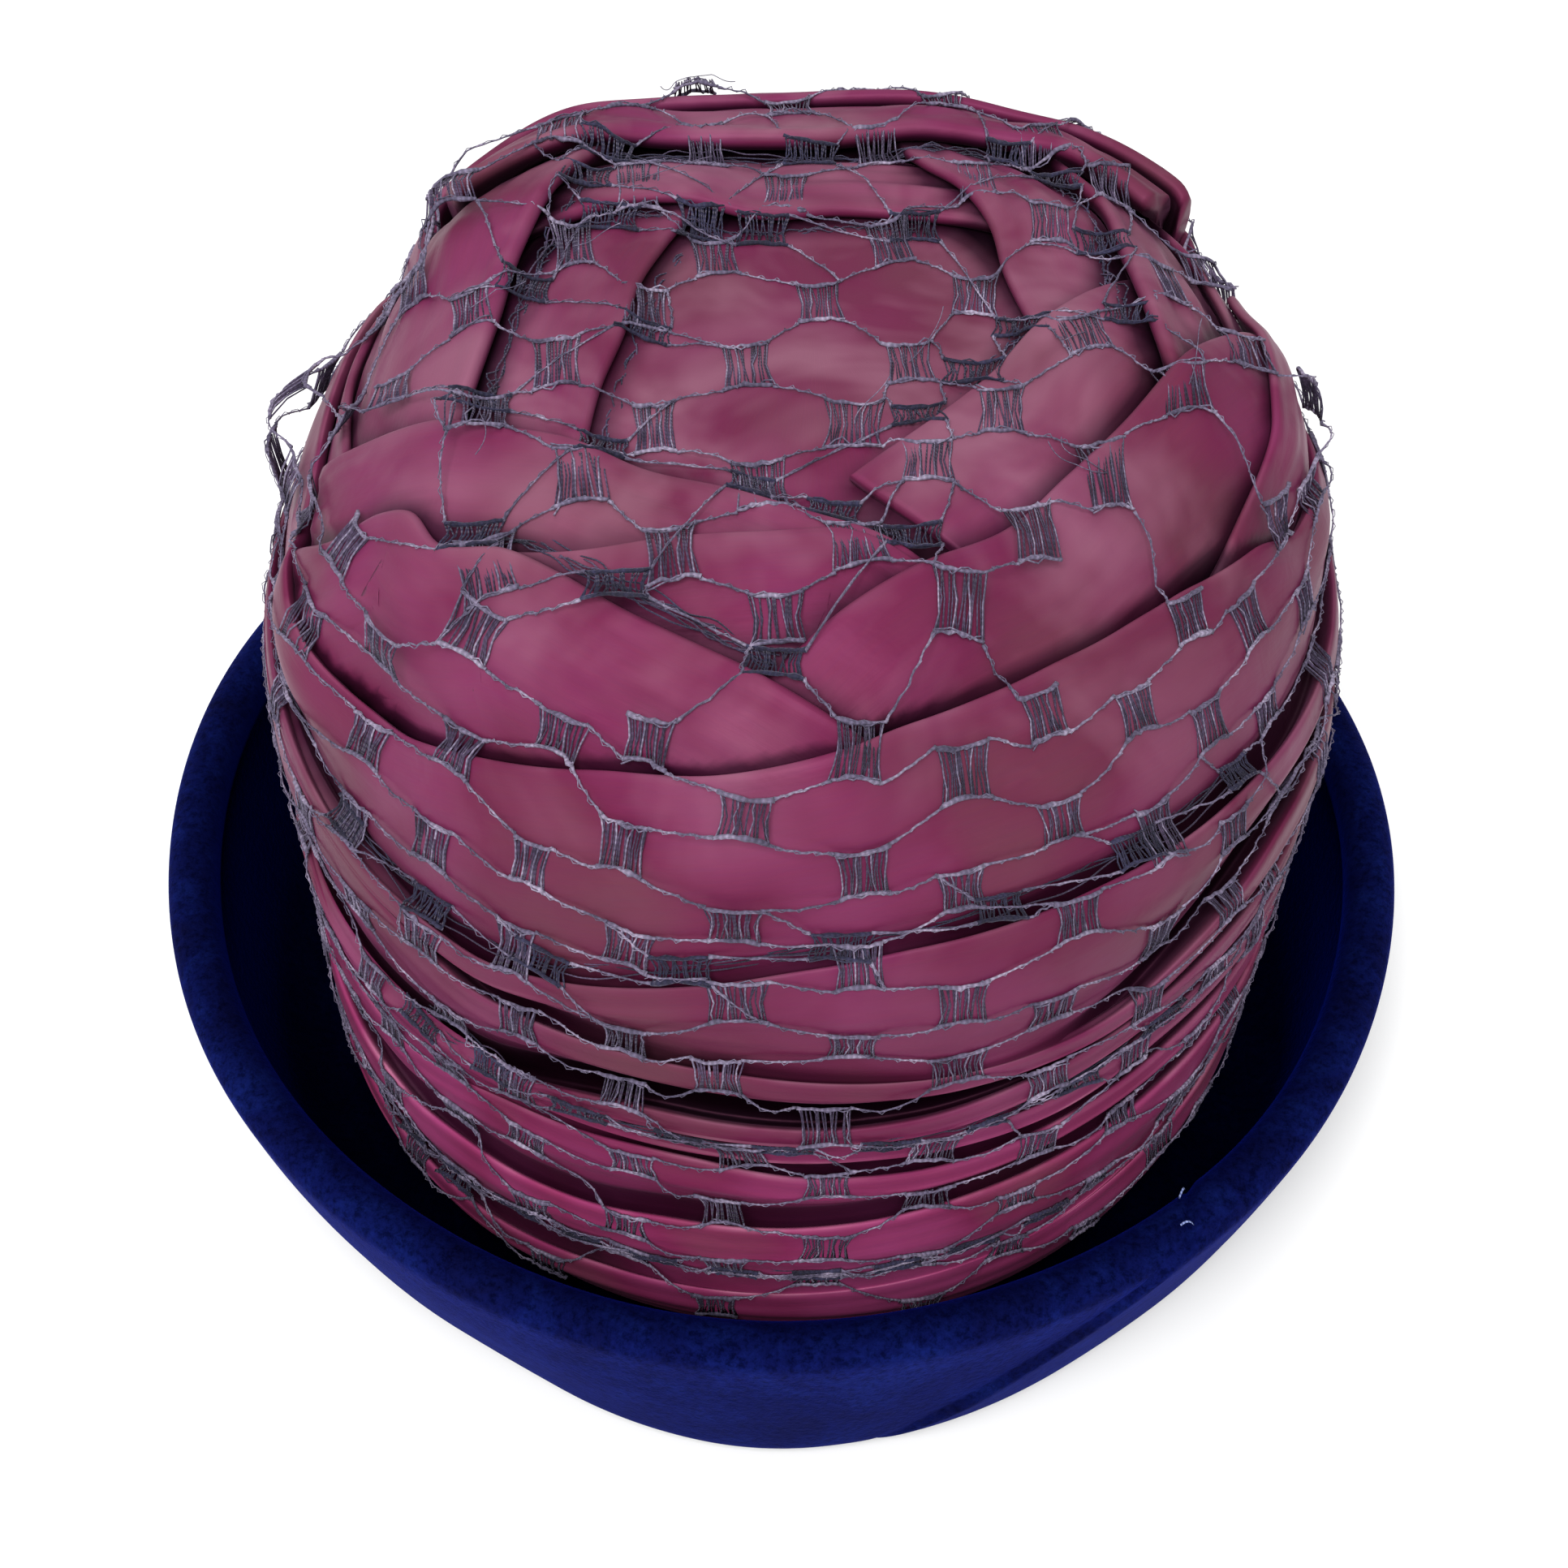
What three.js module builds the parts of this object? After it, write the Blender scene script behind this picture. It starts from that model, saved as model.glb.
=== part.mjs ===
// A draped cloche hat: a satin crown laid with folded bands, a pleated satin drape round its side,
// a net veil over both, and a deep velvet brim turned up all round.
// Millimetres, +Z up. The origin is on the table, under the middle of the brim. -Y is the back of
// the hat, where the brim is joined, and +X is its right when seen from the back.
import * as THREE from "three";
import { mergeVertices } from "three/addons/utils/BufferGeometryUtils.js";

// ---- driving sizes -------------------------------------------------------------------------------

// The outline is the mean outside of the satin: an oval plan carried up to a flattish domed top.
const OUTLINE = {
  halfWidth: 94, // at the shoulder, across
  halfLength: 105, // at the shoulder, front to back
  height: 165, // table to the middle of the top
  shoulderZ: 95, // where the side begins to turn in
  footDraw: 0.95, // plan size at the table, as a part of the size at the shoulder
  domePower: 1.46, // lower is a rounder dome
  turnPower: 5, // higher is a tighter turn from side to top
  lean: 2, // the crown stands this far to the right of the brim's middle
};

const SHELL = { sideLift: -3.8, topLift: -6.4, shoulderDip: 2.4, wall: 2.5, footZ: 3.6 }; // lifts are measured out from the outline
const GAP = 0.75; // between layers of cloth
const DRAPE = { footHeight: 11, clear: 1, topPly: 3, valleyLift: -1, edgeLift: 1.5, edgeRoll: 1.4 };
const BAND = { thickness: 1.2, tuckedThickness: 1 };
const VEIL = { topLift: 1.8, sideLift: 3.5, wall: 1, footHeight: 16 };

// The brim's section, from the root under the crown, down, out and up to the rolled rim, and back
// inside. out is measured from the crown's foot, up from the table; tuck says how much of the
// local drawing-in of the lower fold reaches the point.
const BRIM_SECTION = [
  { out: -6, up: 3.1, tuck: 0 },
  { out: -6, up: 1, tuck: 0 },
  { out: -5, up: 0, tuck: 0 },
  { out: 13, up: 0, tuck: 1 },
  { out: 17, up: 1.6, tuck: 1 },
  { out: 20, up: 7, tuck: 0.9 },
  { out: 23, up: 17, tuck: 0.65 },
  { out: 25.6, up: 28, tuck: 0.35 },
  { out: 27.6, up: 38, tuck: 0.1 },
  { out: 28.6, up: 43.4, tuck: 0 },
  { out: 26.8, up: 46.6, tuck: 0 },
  { out: 23.4, up: 47.2, tuck: 0 },
  { out: 20.4, up: 45.2, tuck: 0 },
  { out: 20.4, up: 41.6, tuck: 0 },
  { out: 23.4, up: 37.5, tuck: 0.1 },
  { out: 22, up: 28, tuck: 0.35 },
  { out: 19.4, up: 17, tuck: 0.65 },
  { out: 16, up: 7.5, tuck: 0.9 },
  { out: 11.5, up: 3.1, tuck: 1 },
];
const BRIM_TUCKS = [
  { at: 238, depth: 4.5, spread: 18 },
  { at: 305, depth: 3, spread: 13 },
];

// The side drape's pleats, from the top edge down. Each row gives the height of the pleat's folded
// upper edge along the crown's side, from the table, at places round the hat: front is +Y.
const PLEAT_STATIONS = { left: 180, backLeft: 225, back: 270, backRight: 315, right: 360, front: 450 };
const PLEATS = [
  { left: 148, backLeft: 128, back: 146, backRight: 152, right: 142, front: 150 },
  { left: 112, backLeft: 104, back: 113, backRight: 117, right: 110, front: 118 },
  { left: 84, backLeft: 91, back: 90, backRight: 95, right: 92, front: 88 },
  { left: 66, backLeft: 69, back: 79, backRight: 84, right: 80, front: 73 },
  { left: 55, backLeft: 59, back: 65, backRight: 66, right: 62, front: 59 },
  { left: 38, backLeft: 41, back: 48, backRight: 53, right: 48, front: 44 },
  { left: 22, backLeft: 24, back: 27, backRight: 28, right: 26, front: 25 },
];

// The folded bands on the top, in the order they are laid. Each row gives the folded edge that
// faces the middle, as points on the flattened top (across, along), and how far the band runs back
// from it under the next ones. The band lies on the left of its edge's direction.
const BANDS = [
  { name: "left_inner_band", edge: [[-36, -48], [-33, -25], [-29, 0], [-25, 22]], reach: 24 },
  { name: "front_inner_band", edge: [[-45, 18], [-22, 24], [0, 25], [32, 25]], reach: 17 },
  { name: "right_inner_band", edge: [[17, 46], [25, 26], [31, 5], [36, -12]], reach: 20 },
  { name: "front_outer_band", edge: [[-50, 40], [-22, 45], [15, 49], [44, 46]], reach: 40 },
  { name: "right_upper_lap", edge: [[42, 2], [33, -8], [23, -23], [12, -40]], reach: 24, flip: true },
  { name: "right_outer_band", edge: [[40, 58], [48, 30], [51, 4], [54, -8]], reach: 33 },
  { name: "left_outer_band", edge: [[-57, -56], [-52, -25], [-48, 5], [-43, 36]], reach: 42 },
  { name: "back_left_lap", edge: [[22, -61], [0, -53], [-25, -45], [-52, -37]], reach: 26, flip: true },
  { name: "right_lower_lap", edge: [[70, 2], [52, -26], [27, -55], [-9, -88]], reach: 38, flip: true },
  { name: "back_right_lap", edge: [[10, -94], [-20, -78], [-50, -61], [-80, -38]], reach: 33, flip: true },
];

const SEGMENTS = { shell: 40, drape: 40, veil: 36, brim: 48, bandLength: 11, bandWidth: 8 };

const SATIN = new THREE.Color(0x97445f);
const VELVET = new THREE.Color(0x141d55);
const NET = new THREE.Color(0x5a5f78);

// ---- the crown's outline as a surface ------------------------------------------------------------

const radians = THREE.MathUtils.degToRad;
const smooth = (x) => THREE.MathUtils.smoothstep(x, 0, 1);

// The outline's meridian from the middle of the top to the table: rows of distance along it, plan
// size (1 at the shoulder) and height.
function meridianTable(steps = 1200) {
  const rows = [{ distance: 0, size: 0, z: OUTLINE.height }];
  const meanRadius = (OUTLINE.halfWidth + OUTLINE.halfLength) / 2;
  const rise = OUTLINE.height - OUTLINE.shoulderZ;
  for (let i = 1; i <= 2 * steps; i += 1) {
    let size;
    let z;
    if (i <= steps) {
      const turn = (i / steps) ** 2.5;
      size = turn ** (1 / OUTLINE.turnPower);
      z = OUTLINE.shoulderZ + rise * (1 - turn) ** (1 / OUTLINE.domePower);
    } else {
      const down = (i - steps) / steps;
      size = 1 - (1 - OUTLINE.footDraw) * down;
      z = OUTLINE.shoulderZ * (1 - down);
    }
    const last = rows[rows.length - 1];
    const step = Math.hypot((size - last.size) * meanRadius, z - last.z);
    rows.push({ distance: last.distance + step, size, z });
  }
  return rows;
}

const MERIDIAN = meridianTable();
const MERIDIAN_LENGTH = MERIDIAN[MERIDIAN.length - 1].distance;

function meridian(distance) {
  const d = THREE.MathUtils.clamp(distance, 0, MERIDIAN_LENGTH);
  let low = 0;
  let high = MERIDIAN.length - 1;
  while (high - low > 1) {
    const middle = (low + high) >> 1;
    if (MERIDIAN[middle].distance > d) high = middle;
    else low = middle;
  }
  const a = MERIDIAN[low];
  const b = MERIDIAN[high];
  const f = (d - a.distance) / (b.distance - a.distance);
  return { size: a.size + (b.size - a.size) * f, z: a.z + (b.z - a.z) * f };
}

function outlinePoint(angle, distance) {
  const { size, z } = meridian(distance);
  const x = OUTLINE.lean + OUTLINE.halfWidth * size * Math.cos(angle);
  return new THREE.Vector3(x, OUTLINE.halfLength * size * Math.sin(angle), z);
}

// The point lifted from the outline along its outward normal, by angle round the hat and distance
// from the middle of the top.
function lifted(angle, distance, lift) {
  if (distance < 0.5) return new THREE.Vector3(OUTLINE.lean, 0, OUTLINE.height + lift);
  const step = 0.4;
  const point = outlinePoint(angle, distance);
  const round = outlinePoint(angle + 0.01, distance).sub(outlinePoint(angle - 0.01, distance));
  const inward = Math.min(distance, MERIDIAN_LENGTH - step);
  const down = outlinePoint(angle, inward + step).sub(outlinePoint(angle, inward - step));
  return point.addScaledVector(down.cross(round).normalize(), lift);
}

const fromFoot = (height) => MERIDIAN_LENGTH - height;

// The flattened top: across and along are true sizes near the middle of the crown.
const MEAN_RADIUS = (OUTLINE.halfWidth + OUTLINE.halfLength) / 2;

function toPolar(across, along) {
  const u = (across * MEAN_RADIUS) / OUTLINE.halfWidth;
  const v = (along * MEAN_RADIUS) / OUTLINE.halfLength;
  return { angle: Math.atan2(v, u), distance: Math.hypot(u, v) };
}

function toFlat(angle, distance) {
  const across = (distance * Math.cos(angle) * OUTLINE.halfWidth) / MEAN_RADIUS;
  const along = (distance * Math.sin(angle) * OUTLINE.halfLength) / MEAN_RADIUS;
  return new THREE.Vector2(across, along);
}

// ---- how the bands stack -------------------------------------------------------------------------

// A band's edge as a dense row of points, with the direction in which the band runs back from it.
function bandPath(band) {
  const knots = band.edge.map(([x, y]) => new THREE.Vector3(x, y, 0));
  const curve = new THREE.CatmullRomCurve3(knots);
  const side = band.flip ? -1 : 1;
  return curve.getSpacedPoints(60).map((point, i) => {
    const tangent = curve.getTangentAt(i / 60);
    return {
      point: new THREE.Vector2(point.x, point.y),
      tangent: new THREE.Vector2(tangent.x, tangent.y),
      back: new THREE.Vector2(-tangent.y * side, tangent.x * side),
    };
  });
}

for (const band of BANDS) band.path = bandPath(band);

// 1 on the band, falling to 0 over the fade outside it.
function cover(band, spot, margin, fade) {
  let best = band.path[0];
  let nearest = Infinity;
  for (const row of band.path) {
    const gap = row.point.distanceToSquared(spot);
    if (gap < nearest) {
      nearest = gap;
      best = row;
    }
  }
  const from = spot.clone().sub(best.point);
  const depth = from.dot(best.back);
  const past = Math.abs(from.dot(best.tangent));
  const outside = Math.max(-depth, depth - band.reach, past) - margin;
  return smooth(1 - outside / fade);
}

// The level on which the layers are laid: lower on the top than down the side.
function shellLift(distance) {
  return THREE.MathUtils.lerp(SHELL.topLift, SHELL.sideLift, smooth((distance - 100) / 18));
}

// The height of the cloth that lies under layer number `order`, above the crown shell.
function stack(spot, order, margin = 5, fade = 26) {
  let height = 0;
  for (const band of BANDS.slice(0, order)) {
    height += (BAND.thickness + 1.3 * GAP) * cover(band, spot, margin, fade);
  }
  return height;
}

// ---- solids --------------------------------------------------------------------------------------

// Skins a list of sections into one closed body. A section is a closed loop of points, or a single
// point at a pole. A ring joins its last section to its first; otherwise a flat end gets a fan.
function skin(sections, ring = false) {
  const positions = [];
  const triangle = (a, b, c) => positions.push(...a.toArray(), ...b.toArray(), ...c.toArray());
  const spans = ring ? sections.length : sections.length - 1;
  for (let i = 0; i < spans; i += 1) {
    const near = sections[i];
    const far = sections[(i + 1) % sections.length];
    const count = Math.max(near.length, far.length);
    for (let j = 0; j < count; j += 1) {
      const next = (j + 1) % count;
      if (near.length === 1) triangle(near[0], far[j], far[next]);
      else if (far.length === 1) triangle(near[j], far[0], near[next]);
      else {
        triangle(near[j], far[j], far[next]);
        triangle(near[j], far[next], near[next]);
      }
    }
  }
  if (!ring) {
    closeEnd(sections[0], triangle, false);
    closeEnd(sections[sections.length - 1], triangle, true);
  }
  return outwardGeometry(positions);
}

function closeEnd(loop, triangle, reversed) {
  if (loop.length < 3) return;
  for (let j = 1; j < loop.length - 1; j += 1) {
    if (reversed) triangle(loop[0], loop[j + 1], loop[j]);
    else triangle(loop[0], loop[j], loop[j + 1]);
  }
}

function outwardGeometry(positions) {
  let volume = 0;
  const [a, b, c] = [new THREE.Vector3(), new THREE.Vector3(), new THREE.Vector3()];
  for (let i = 0; i < positions.length; i += 9) {
    a.fromArray(positions, i);
    b.fromArray(positions, i + 3);
    c.fromArray(positions, i + 6);
    volume += a.dot(b.cross(c));
  }
  if (volume < 0) {
    for (let i = 0; i < positions.length; i += 9) {
      for (let k = 0; k < 3; k += 1) {
        [positions[i + 3 + k], positions[i + 6 + k]] = [positions[i + 6 + k], positions[i + 3 + k]];
      }
    }
  }
  const geometry = new THREE.BufferGeometry();
  geometry.setAttribute("position", new THREE.Float32BufferAttribute(positions, 3));
  return mergeVertices(geometry, 1e-4);
}

function roundAngles(count) {
  return Array.from({ length: count }, (_, i) => (2 * Math.PI * i) / count);
}

// A domed shell open below: rows of distance and lift from the inner pole, round the foot, to the
// outer pole.
function domeShell(rows, count, liftAt) {
  const sections = rows.map((row) => {
    if (row.distance === 0) return [lifted(0, 0, liftAt(0, row))];
    return roundAngles(count).map((angle) => lifted(angle, row.distance, liftAt(angle, row)));
  });
  return skin(sections);
}

function spread(from, to, count, power = 1) {
  return Array.from({ length: count }, (_, i) => from + (to - from) * (i / (count - 1)) ** power);
}

// The satin-covered crown under the bands: a plain hollow dome whose top shows between them.
function crownShell() {
  const foot = fromFoot(SHELL.footZ);
  const distances = [0, 22, 44, 64, 76, 87, 96, 105, 115, 128, 150, 190, foot];
  const inside = distances.filter((distance, i) => i % 2 === 0);
  const rows = inside.map((distance) => ({ distance, wall: SHELL.wall }));
  for (const distance of [...distances].reverse()) rows.push({ distance, wall: 0 });
  return domeShell(rows, SEGMENTS.shell, (angle, row) => {
    const dip = smooth((row.distance - 58) / 18) * smooth((124 - row.distance) / 12);
    return shellLift(row.distance) - SHELL.shoulderDip * dip - row.wall;
  });
}

// A value given at the stations round the hat, joined smoothly and closed on itself.
function roundTheHat(row, degrees) {
  const stops = Object.entries(PLEAT_STATIONS).map(([key, at]) => ({ at, value: row[key] }));
  let place = degrees;
  while (place < stops[0].at) place += 360;
  while (place >= stops[0].at + 360) place -= 360;
  stops.push({ at: stops[0].at + 360, value: stops[0].value });
  const after = stops.findIndex((stop) => stop.at > place);
  const [from, to] = [stops[after - 1], stops[after]];
  return from.value + (to.value - from.value) * smooth((place - from.at) / (to.at - from.at));
}

// The pleated drape: its inside lies on the crown and over the bands' ends, its outside steps out
// at the folded upper edge of each pleat and runs in again towards the next.
function sideDrape() {
  const sections = roundAngles(SEGMENTS.drape).map((angle) => {
    const degrees = THREE.MathUtils.radToDeg(angle);
    const edges = PLEATS.map((row) => roundTheHat(row, degrees));
    const under = (height) => {
      const spot = toFlat(angle, fromFoot(height));
      return shellLift(fromFoot(height)) + DRAPE.clear + stack(spot, BANDS.length);
    };
    const at = (height, lift) => lifted(angle, fromFoot(height), lift);
    const topLift = under(edges[0]) + DRAPE.topPly;
    const loop = [];
    for (const height of spread(DRAPE.footHeight, edges[0] - DRAPE.edgeRoll, 10, 0.6)) {
      loop.push(at(height, under(height)));
    }
    loop.push(at(edges[0], topLift));
    edges.forEach((edge, i) => {
      const below = edges[i + 1] ?? DRAPE.footHeight;
      const crest = i === 0 ? topLift : DRAPE.edgeLift;
      const valley = Math.max(DRAPE.valleyLift, under(below) + BAND.thickness);
      if (i > 0) loop.push(at(edge, crest));
      loop.push(at((edge + below) / 2, (crest + valley) / 2 + 0.4));
      loop.push(at(below + DRAPE.edgeRoll, valley));
    });
    return loop;
  });
  return skin(sections, true);
}

function band(row, order) {
  const curve = row.path;
  const stations = spread(0, curve.length - 1, SEGMENTS.bandLength + 1).map((i) => curve[Math.round(i)]);
  const sections = stations.map((station) => {
    const top = [];
    const bottom = [];
    for (const step of spread(0, 1, Math.ceil(row.reach / SEGMENTS.bandWidth) + 1)) {
      const spot = station.point.clone().addScaledVector(station.back, step * row.reach);
      const { angle, distance } = toPolar(spot.x, spot.y);
      const low = shellLift(distance) + GAP + stack(spot, order);
      const thickness = THREE.MathUtils.lerp(BAND.thickness, BAND.tuckedThickness, step);
      top.push(lifted(angle, distance, low + thickness));
      bottom.unshift(lifted(angle, distance, low));
    }
    return [...top, ...bottom];
  });
  return skin(sections);
}

// The veil's outer form: one thin sheet over the drape and the bands, open below.
function veil() {
  const clear = (angle, distance) => {
    const over = shellLift(distance) + GAP + stack(toFlat(angle, distance), BANDS.length);
    const lift = THREE.MathUtils.lerp(VEIL.topLift, VEIL.sideLift, smooth((distance - 60) / 40));
    return Math.max(over + 3 * GAP, lift);
  };
  const foot = fromFoot(VEIL.footHeight);
  const distances = [0, 20, 40, 58, 74, 88, 100, 112, 126, 150, 185, foot];
  const rows = distances.map((distance) => ({ distance, wall: 0 }));
  for (const distance of [...distances].reverse()) rows.push({ distance, wall: VEIL.wall });
  return domeShell(rows, SEGMENTS.veil, (angle, row) => clear(angle, row.distance) + row.wall);
}

function brim() {
  const footWidth = OUTLINE.halfWidth * OUTLINE.footDraw;
  const footLength = OUTLINE.halfLength * OUTLINE.footDraw;
  const sections = roundAngles(SEGMENTS.brim).map((angle) => {
    const degrees = THREE.MathUtils.radToDeg(angle);
    let drawn = 0;
    for (const tuck of BRIM_TUCKS) drawn += tuck.depth * Math.exp(-(((degrees - tuck.at) / tuck.spread) ** 2));
    return BRIM_SECTION.map((point) => {
      const out = point.out - drawn * point.tuck;
      const lean = OUTLINE.lean * (1 - smooth(point.out / 20));
      const x = lean + (footWidth + out) * Math.cos(angle);
      return new THREE.Vector3(x, (footLength + out) * Math.sin(angle), point.up);
    });
  });
  return skin(sections, true);
}

// ---- the hat -------------------------------------------------------------------------------------

const hat = new THREE.Group();
hat.name = "cloche_hat";

function addPiece(name, geometry, color, roughness) {
  const material = new THREE.MeshStandardMaterial({ color, roughness, metalness: 0 });
  const mesh = new THREE.Mesh(geometry, material);
  mesh.name = name;
  hat.add(mesh);
}

addPiece("crown_shell", crownShell(), SATIN, 0.5);
BANDS.forEach((row, order) => addPiece(row.name, band(row, order), SATIN, 0.45));
addPiece("side_drape", sideDrape(), SATIN, 0.45);
addPiece("veil", veil(), NET, 0.9);
addPiece("brim", brim(), VELVET, 0.95);

export default hat;
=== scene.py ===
from math import cos, pi, radians, sin

import bpy
import numpy as np
from mathutils import Matrix, Vector


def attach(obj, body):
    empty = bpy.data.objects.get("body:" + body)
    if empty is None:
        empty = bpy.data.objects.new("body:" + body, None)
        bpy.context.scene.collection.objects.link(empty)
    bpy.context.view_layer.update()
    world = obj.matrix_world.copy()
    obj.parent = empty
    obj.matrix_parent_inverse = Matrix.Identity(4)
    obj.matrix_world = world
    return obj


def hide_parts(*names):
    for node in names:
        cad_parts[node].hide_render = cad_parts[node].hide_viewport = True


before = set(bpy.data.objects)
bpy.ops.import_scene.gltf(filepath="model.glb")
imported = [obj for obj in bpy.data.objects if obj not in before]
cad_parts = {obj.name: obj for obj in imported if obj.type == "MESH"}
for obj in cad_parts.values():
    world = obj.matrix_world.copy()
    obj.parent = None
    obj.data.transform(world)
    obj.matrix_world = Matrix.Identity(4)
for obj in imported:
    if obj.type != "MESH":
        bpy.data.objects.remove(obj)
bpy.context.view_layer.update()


# ---- Camera --------------------------------------------------------------------------------------
# The hat is seen from behind and above, from about half a metre away, so the crown hides the front
# of the brim. The camera leans a little to one side.

CAMERA_PLACE = Vector((0.0, -0.3311, 0.3776))
LOOKS_DOWN = radians(44.86)
LEAN = radians(2.26)
FOCAL_LENGTH, SENSOR = 55.03, 36.0      # in mm

forward = Vector((0, cos(LOOKS_DOWN), -sin(LOOKS_DOWN)))
level_right = Vector((1, 0, 0))
level_up = level_right.cross(forward)
camera_right = level_right * cos(LEAN) + level_up * sin(LEAN)
camera_up = level_up * cos(LEAN) - level_right * sin(LEAN)

lens = bpy.data.cameras.new("camera")
lens.lens = FOCAL_LENGTH
lens.sensor_width = SENSOR
camera = bpy.data.objects.new("camera", lens)
camera_turn = Matrix((camera_right, camera_up, -forward)).transposed().to_4x4()
camera.matrix_world = Matrix.Translation(CAMERA_PLACE) @ camera_turn
bpy.context.collection.objects.link(camera)
bpy.context.scene.camera = camera


# ---- Crown form ----------------------------------------------------------------------------------
# The crown is blocked to an oval, with an upright side and a flattish top, and covered in satin. Only
# the middle of its top shows, between the bands. Sizes from here on are in millimetres.

HALF_WIDTH, HALF_LENGTH = 94.0, 105.0   # of the satin's mean outside, at the shoulder
CROWN_HEIGHT, SHOULDER = 165.0, 95.0
FOOT_DRAW = 0.95        # plan size at the table, as a part of the size at the shoulder
DOME_POWER, TURN_POWER = 1.46, 5.0
CROWN_LEAN = 2.0        # the crown stands this far to the right of the brim's middle
MEAN_RADIUS = (HALF_WIDTH + HALF_LENGTH) / 2
FORM_LIFT, FORM_SIDE = -7.2, -6.6   # of the crown form's outside, from the satin's mean outside
FORM_WALL = 2.4
FORM_FOOT = 4.5


def meridian(steps=3000):
    """Distance from the middle of the top, plan size and height down the outline. Above the shoulder
    the size is turn^(1/5) and the height rises by (1 - turn)^(1/1.46); below it both are straight."""
    turn = np.linspace(0, 1, steps) ** 2.5
    down = np.linspace(0, 1, steps)[1:]
    size = np.concatenate([turn ** (1 / TURN_POWER), 1 - (1 - FOOT_DRAW) * down])
    dome = SHOULDER + (CROWN_HEIGHT - SHOULDER) * (1 - turn) ** (1 / DOME_POWER)
    height = np.concatenate([dome, SHOULDER * (1 - down)])
    steps_out = np.hypot(np.diff(size) * MEAN_RADIUS, np.diff(height))
    return np.concatenate([[0], np.cumsum(steps_out)]), size, height


DISTANCE, SIZE, HEIGHT = meridian()
SIDE_LENGTH = DISTANCE[-1]


def outline(angle, distance):
    """The point of the oval outline at an angle round the hat, so far from the middle of the top."""
    size = np.interp(distance, DISTANCE, SIZE)
    x = CROWN_LEAN + HALF_WIDTH * size * np.cos(angle)
    return np.stack([x, HALF_LENGTH * size * np.sin(angle), np.interp(distance, DISTANCE, HEIGHT)], -1)


def lifted(angle, distance, lift):
    """The outline's point moved out along the outline's normal, the cross product of its two slopes."""
    angle, distance, lift = np.broadcast_arrays(angle, distance, lift)
    near = np.clip(distance, 1.2, SIDE_LENGTH - 1)
    down = outline(angle, near + 1) - outline(angle, near - 1)
    along = outline(angle + 0.01, near) - outline(angle - 0.01, near)
    normal = np.cross(down, along)
    normal /= np.linalg.norm(normal, axis=-1, keepdims=True)
    return outline(angle, distance) + normal * lift[..., None]


def place_on_top(across, along):
    """Angle and distance of a point of the flattened top, whose measures are true at its middle."""
    u = across * MEAN_RADIUS / HALF_WIDTH
    v = along * MEAN_RADIUS / HALF_LENGTH
    return np.arctan2(v, u), np.hypot(u, v)


def flat_place(angle, distance):
    """The point of the flattened top at an angle and distance."""
    return (distance * np.cos(angle) * HALF_WIDTH / MEAN_RADIUS,
            distance * np.sin(angle) * HALF_LENGTH / MEAN_RADIUS)


def smooth(x):
    """0 below 0, 1 above 1, and 3x^2 - 2x^3 between."""
    x = np.clip(x, 0, 1)
    return x * x * (3 - 2 * x)


def skin(loops, ring=False):
    """Vertices, faces and face-corner measures of a closed body through loops of points, an array of
    loops by points by 3. Neighbouring loops are joined by quads; a ring joins last to first, and
    otherwise each end is closed by a fan to its middle. Measures run along in mm and round in mm."""
    count, size = loops.shape[:2]
    vertices = loops.reshape(-1, 3)
    i = np.arange(count if ring else count - 1)[:, None]
    j = np.arange(size)[None, :]
    here, there = i * size, (i + 1) % count * size
    quads = np.stack([here + j, there + j, there + (j + 1) % size, here + (j + 1) % size], -1)
    quads = quads.reshape(-1, 4)
    round_step = np.linalg.norm(np.roll(loops, -1, 1) - loops, axis=-1).mean(0)
    round_at = np.concatenate([[0], np.cumsum(round_step)])
    along_step = np.linalg.norm(np.roll(loops, -1, 0) - loops, axis=-1).mean(1)
    along_at = np.concatenate([[0], np.cumsum(along_step)])
    i, j = np.broadcast_arrays(i, j)
    uv = np.stack([np.stack([along_at[i + di], round_at[j + dj]], -1)
                   for di, dj in ((0, 0), (1, 0), (1, 1), (0, 1))], -2).reshape(-1, 2)
    triangles = np.zeros((0, 3), int)
    if not ring:
        ends = np.stack([loops[0].mean(0), loops[-1].mean(0)])
        first, last = len(vertices), len(vertices) + 1
        vertices = np.concatenate([vertices, ends])
        j = np.arange(size)
        back = (count - 1) * size
        triangles = np.concatenate([
            np.stack([np.full(size, first), j, (j + 1) % size], -1),
            np.stack([np.full(size, last), back + (j + 1) % size, back + j], -1)])
        uv = np.concatenate([uv, np.zeros((len(triangles) * 3, 2))])
    a, b, c = (vertices[quads[:, k]] for k in range(3))
    if (a * np.cross(b, c)).sum() < 0:
        quads = quads[:, ::-1]
        triangles = triangles[:, ::-1]
        uv[:len(quads) * 4] = uv[:len(quads) * 4].reshape(-1, 4, 2)[:, ::-1].reshape(-1, 2)
    return vertices, quads, triangles, uv


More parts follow.
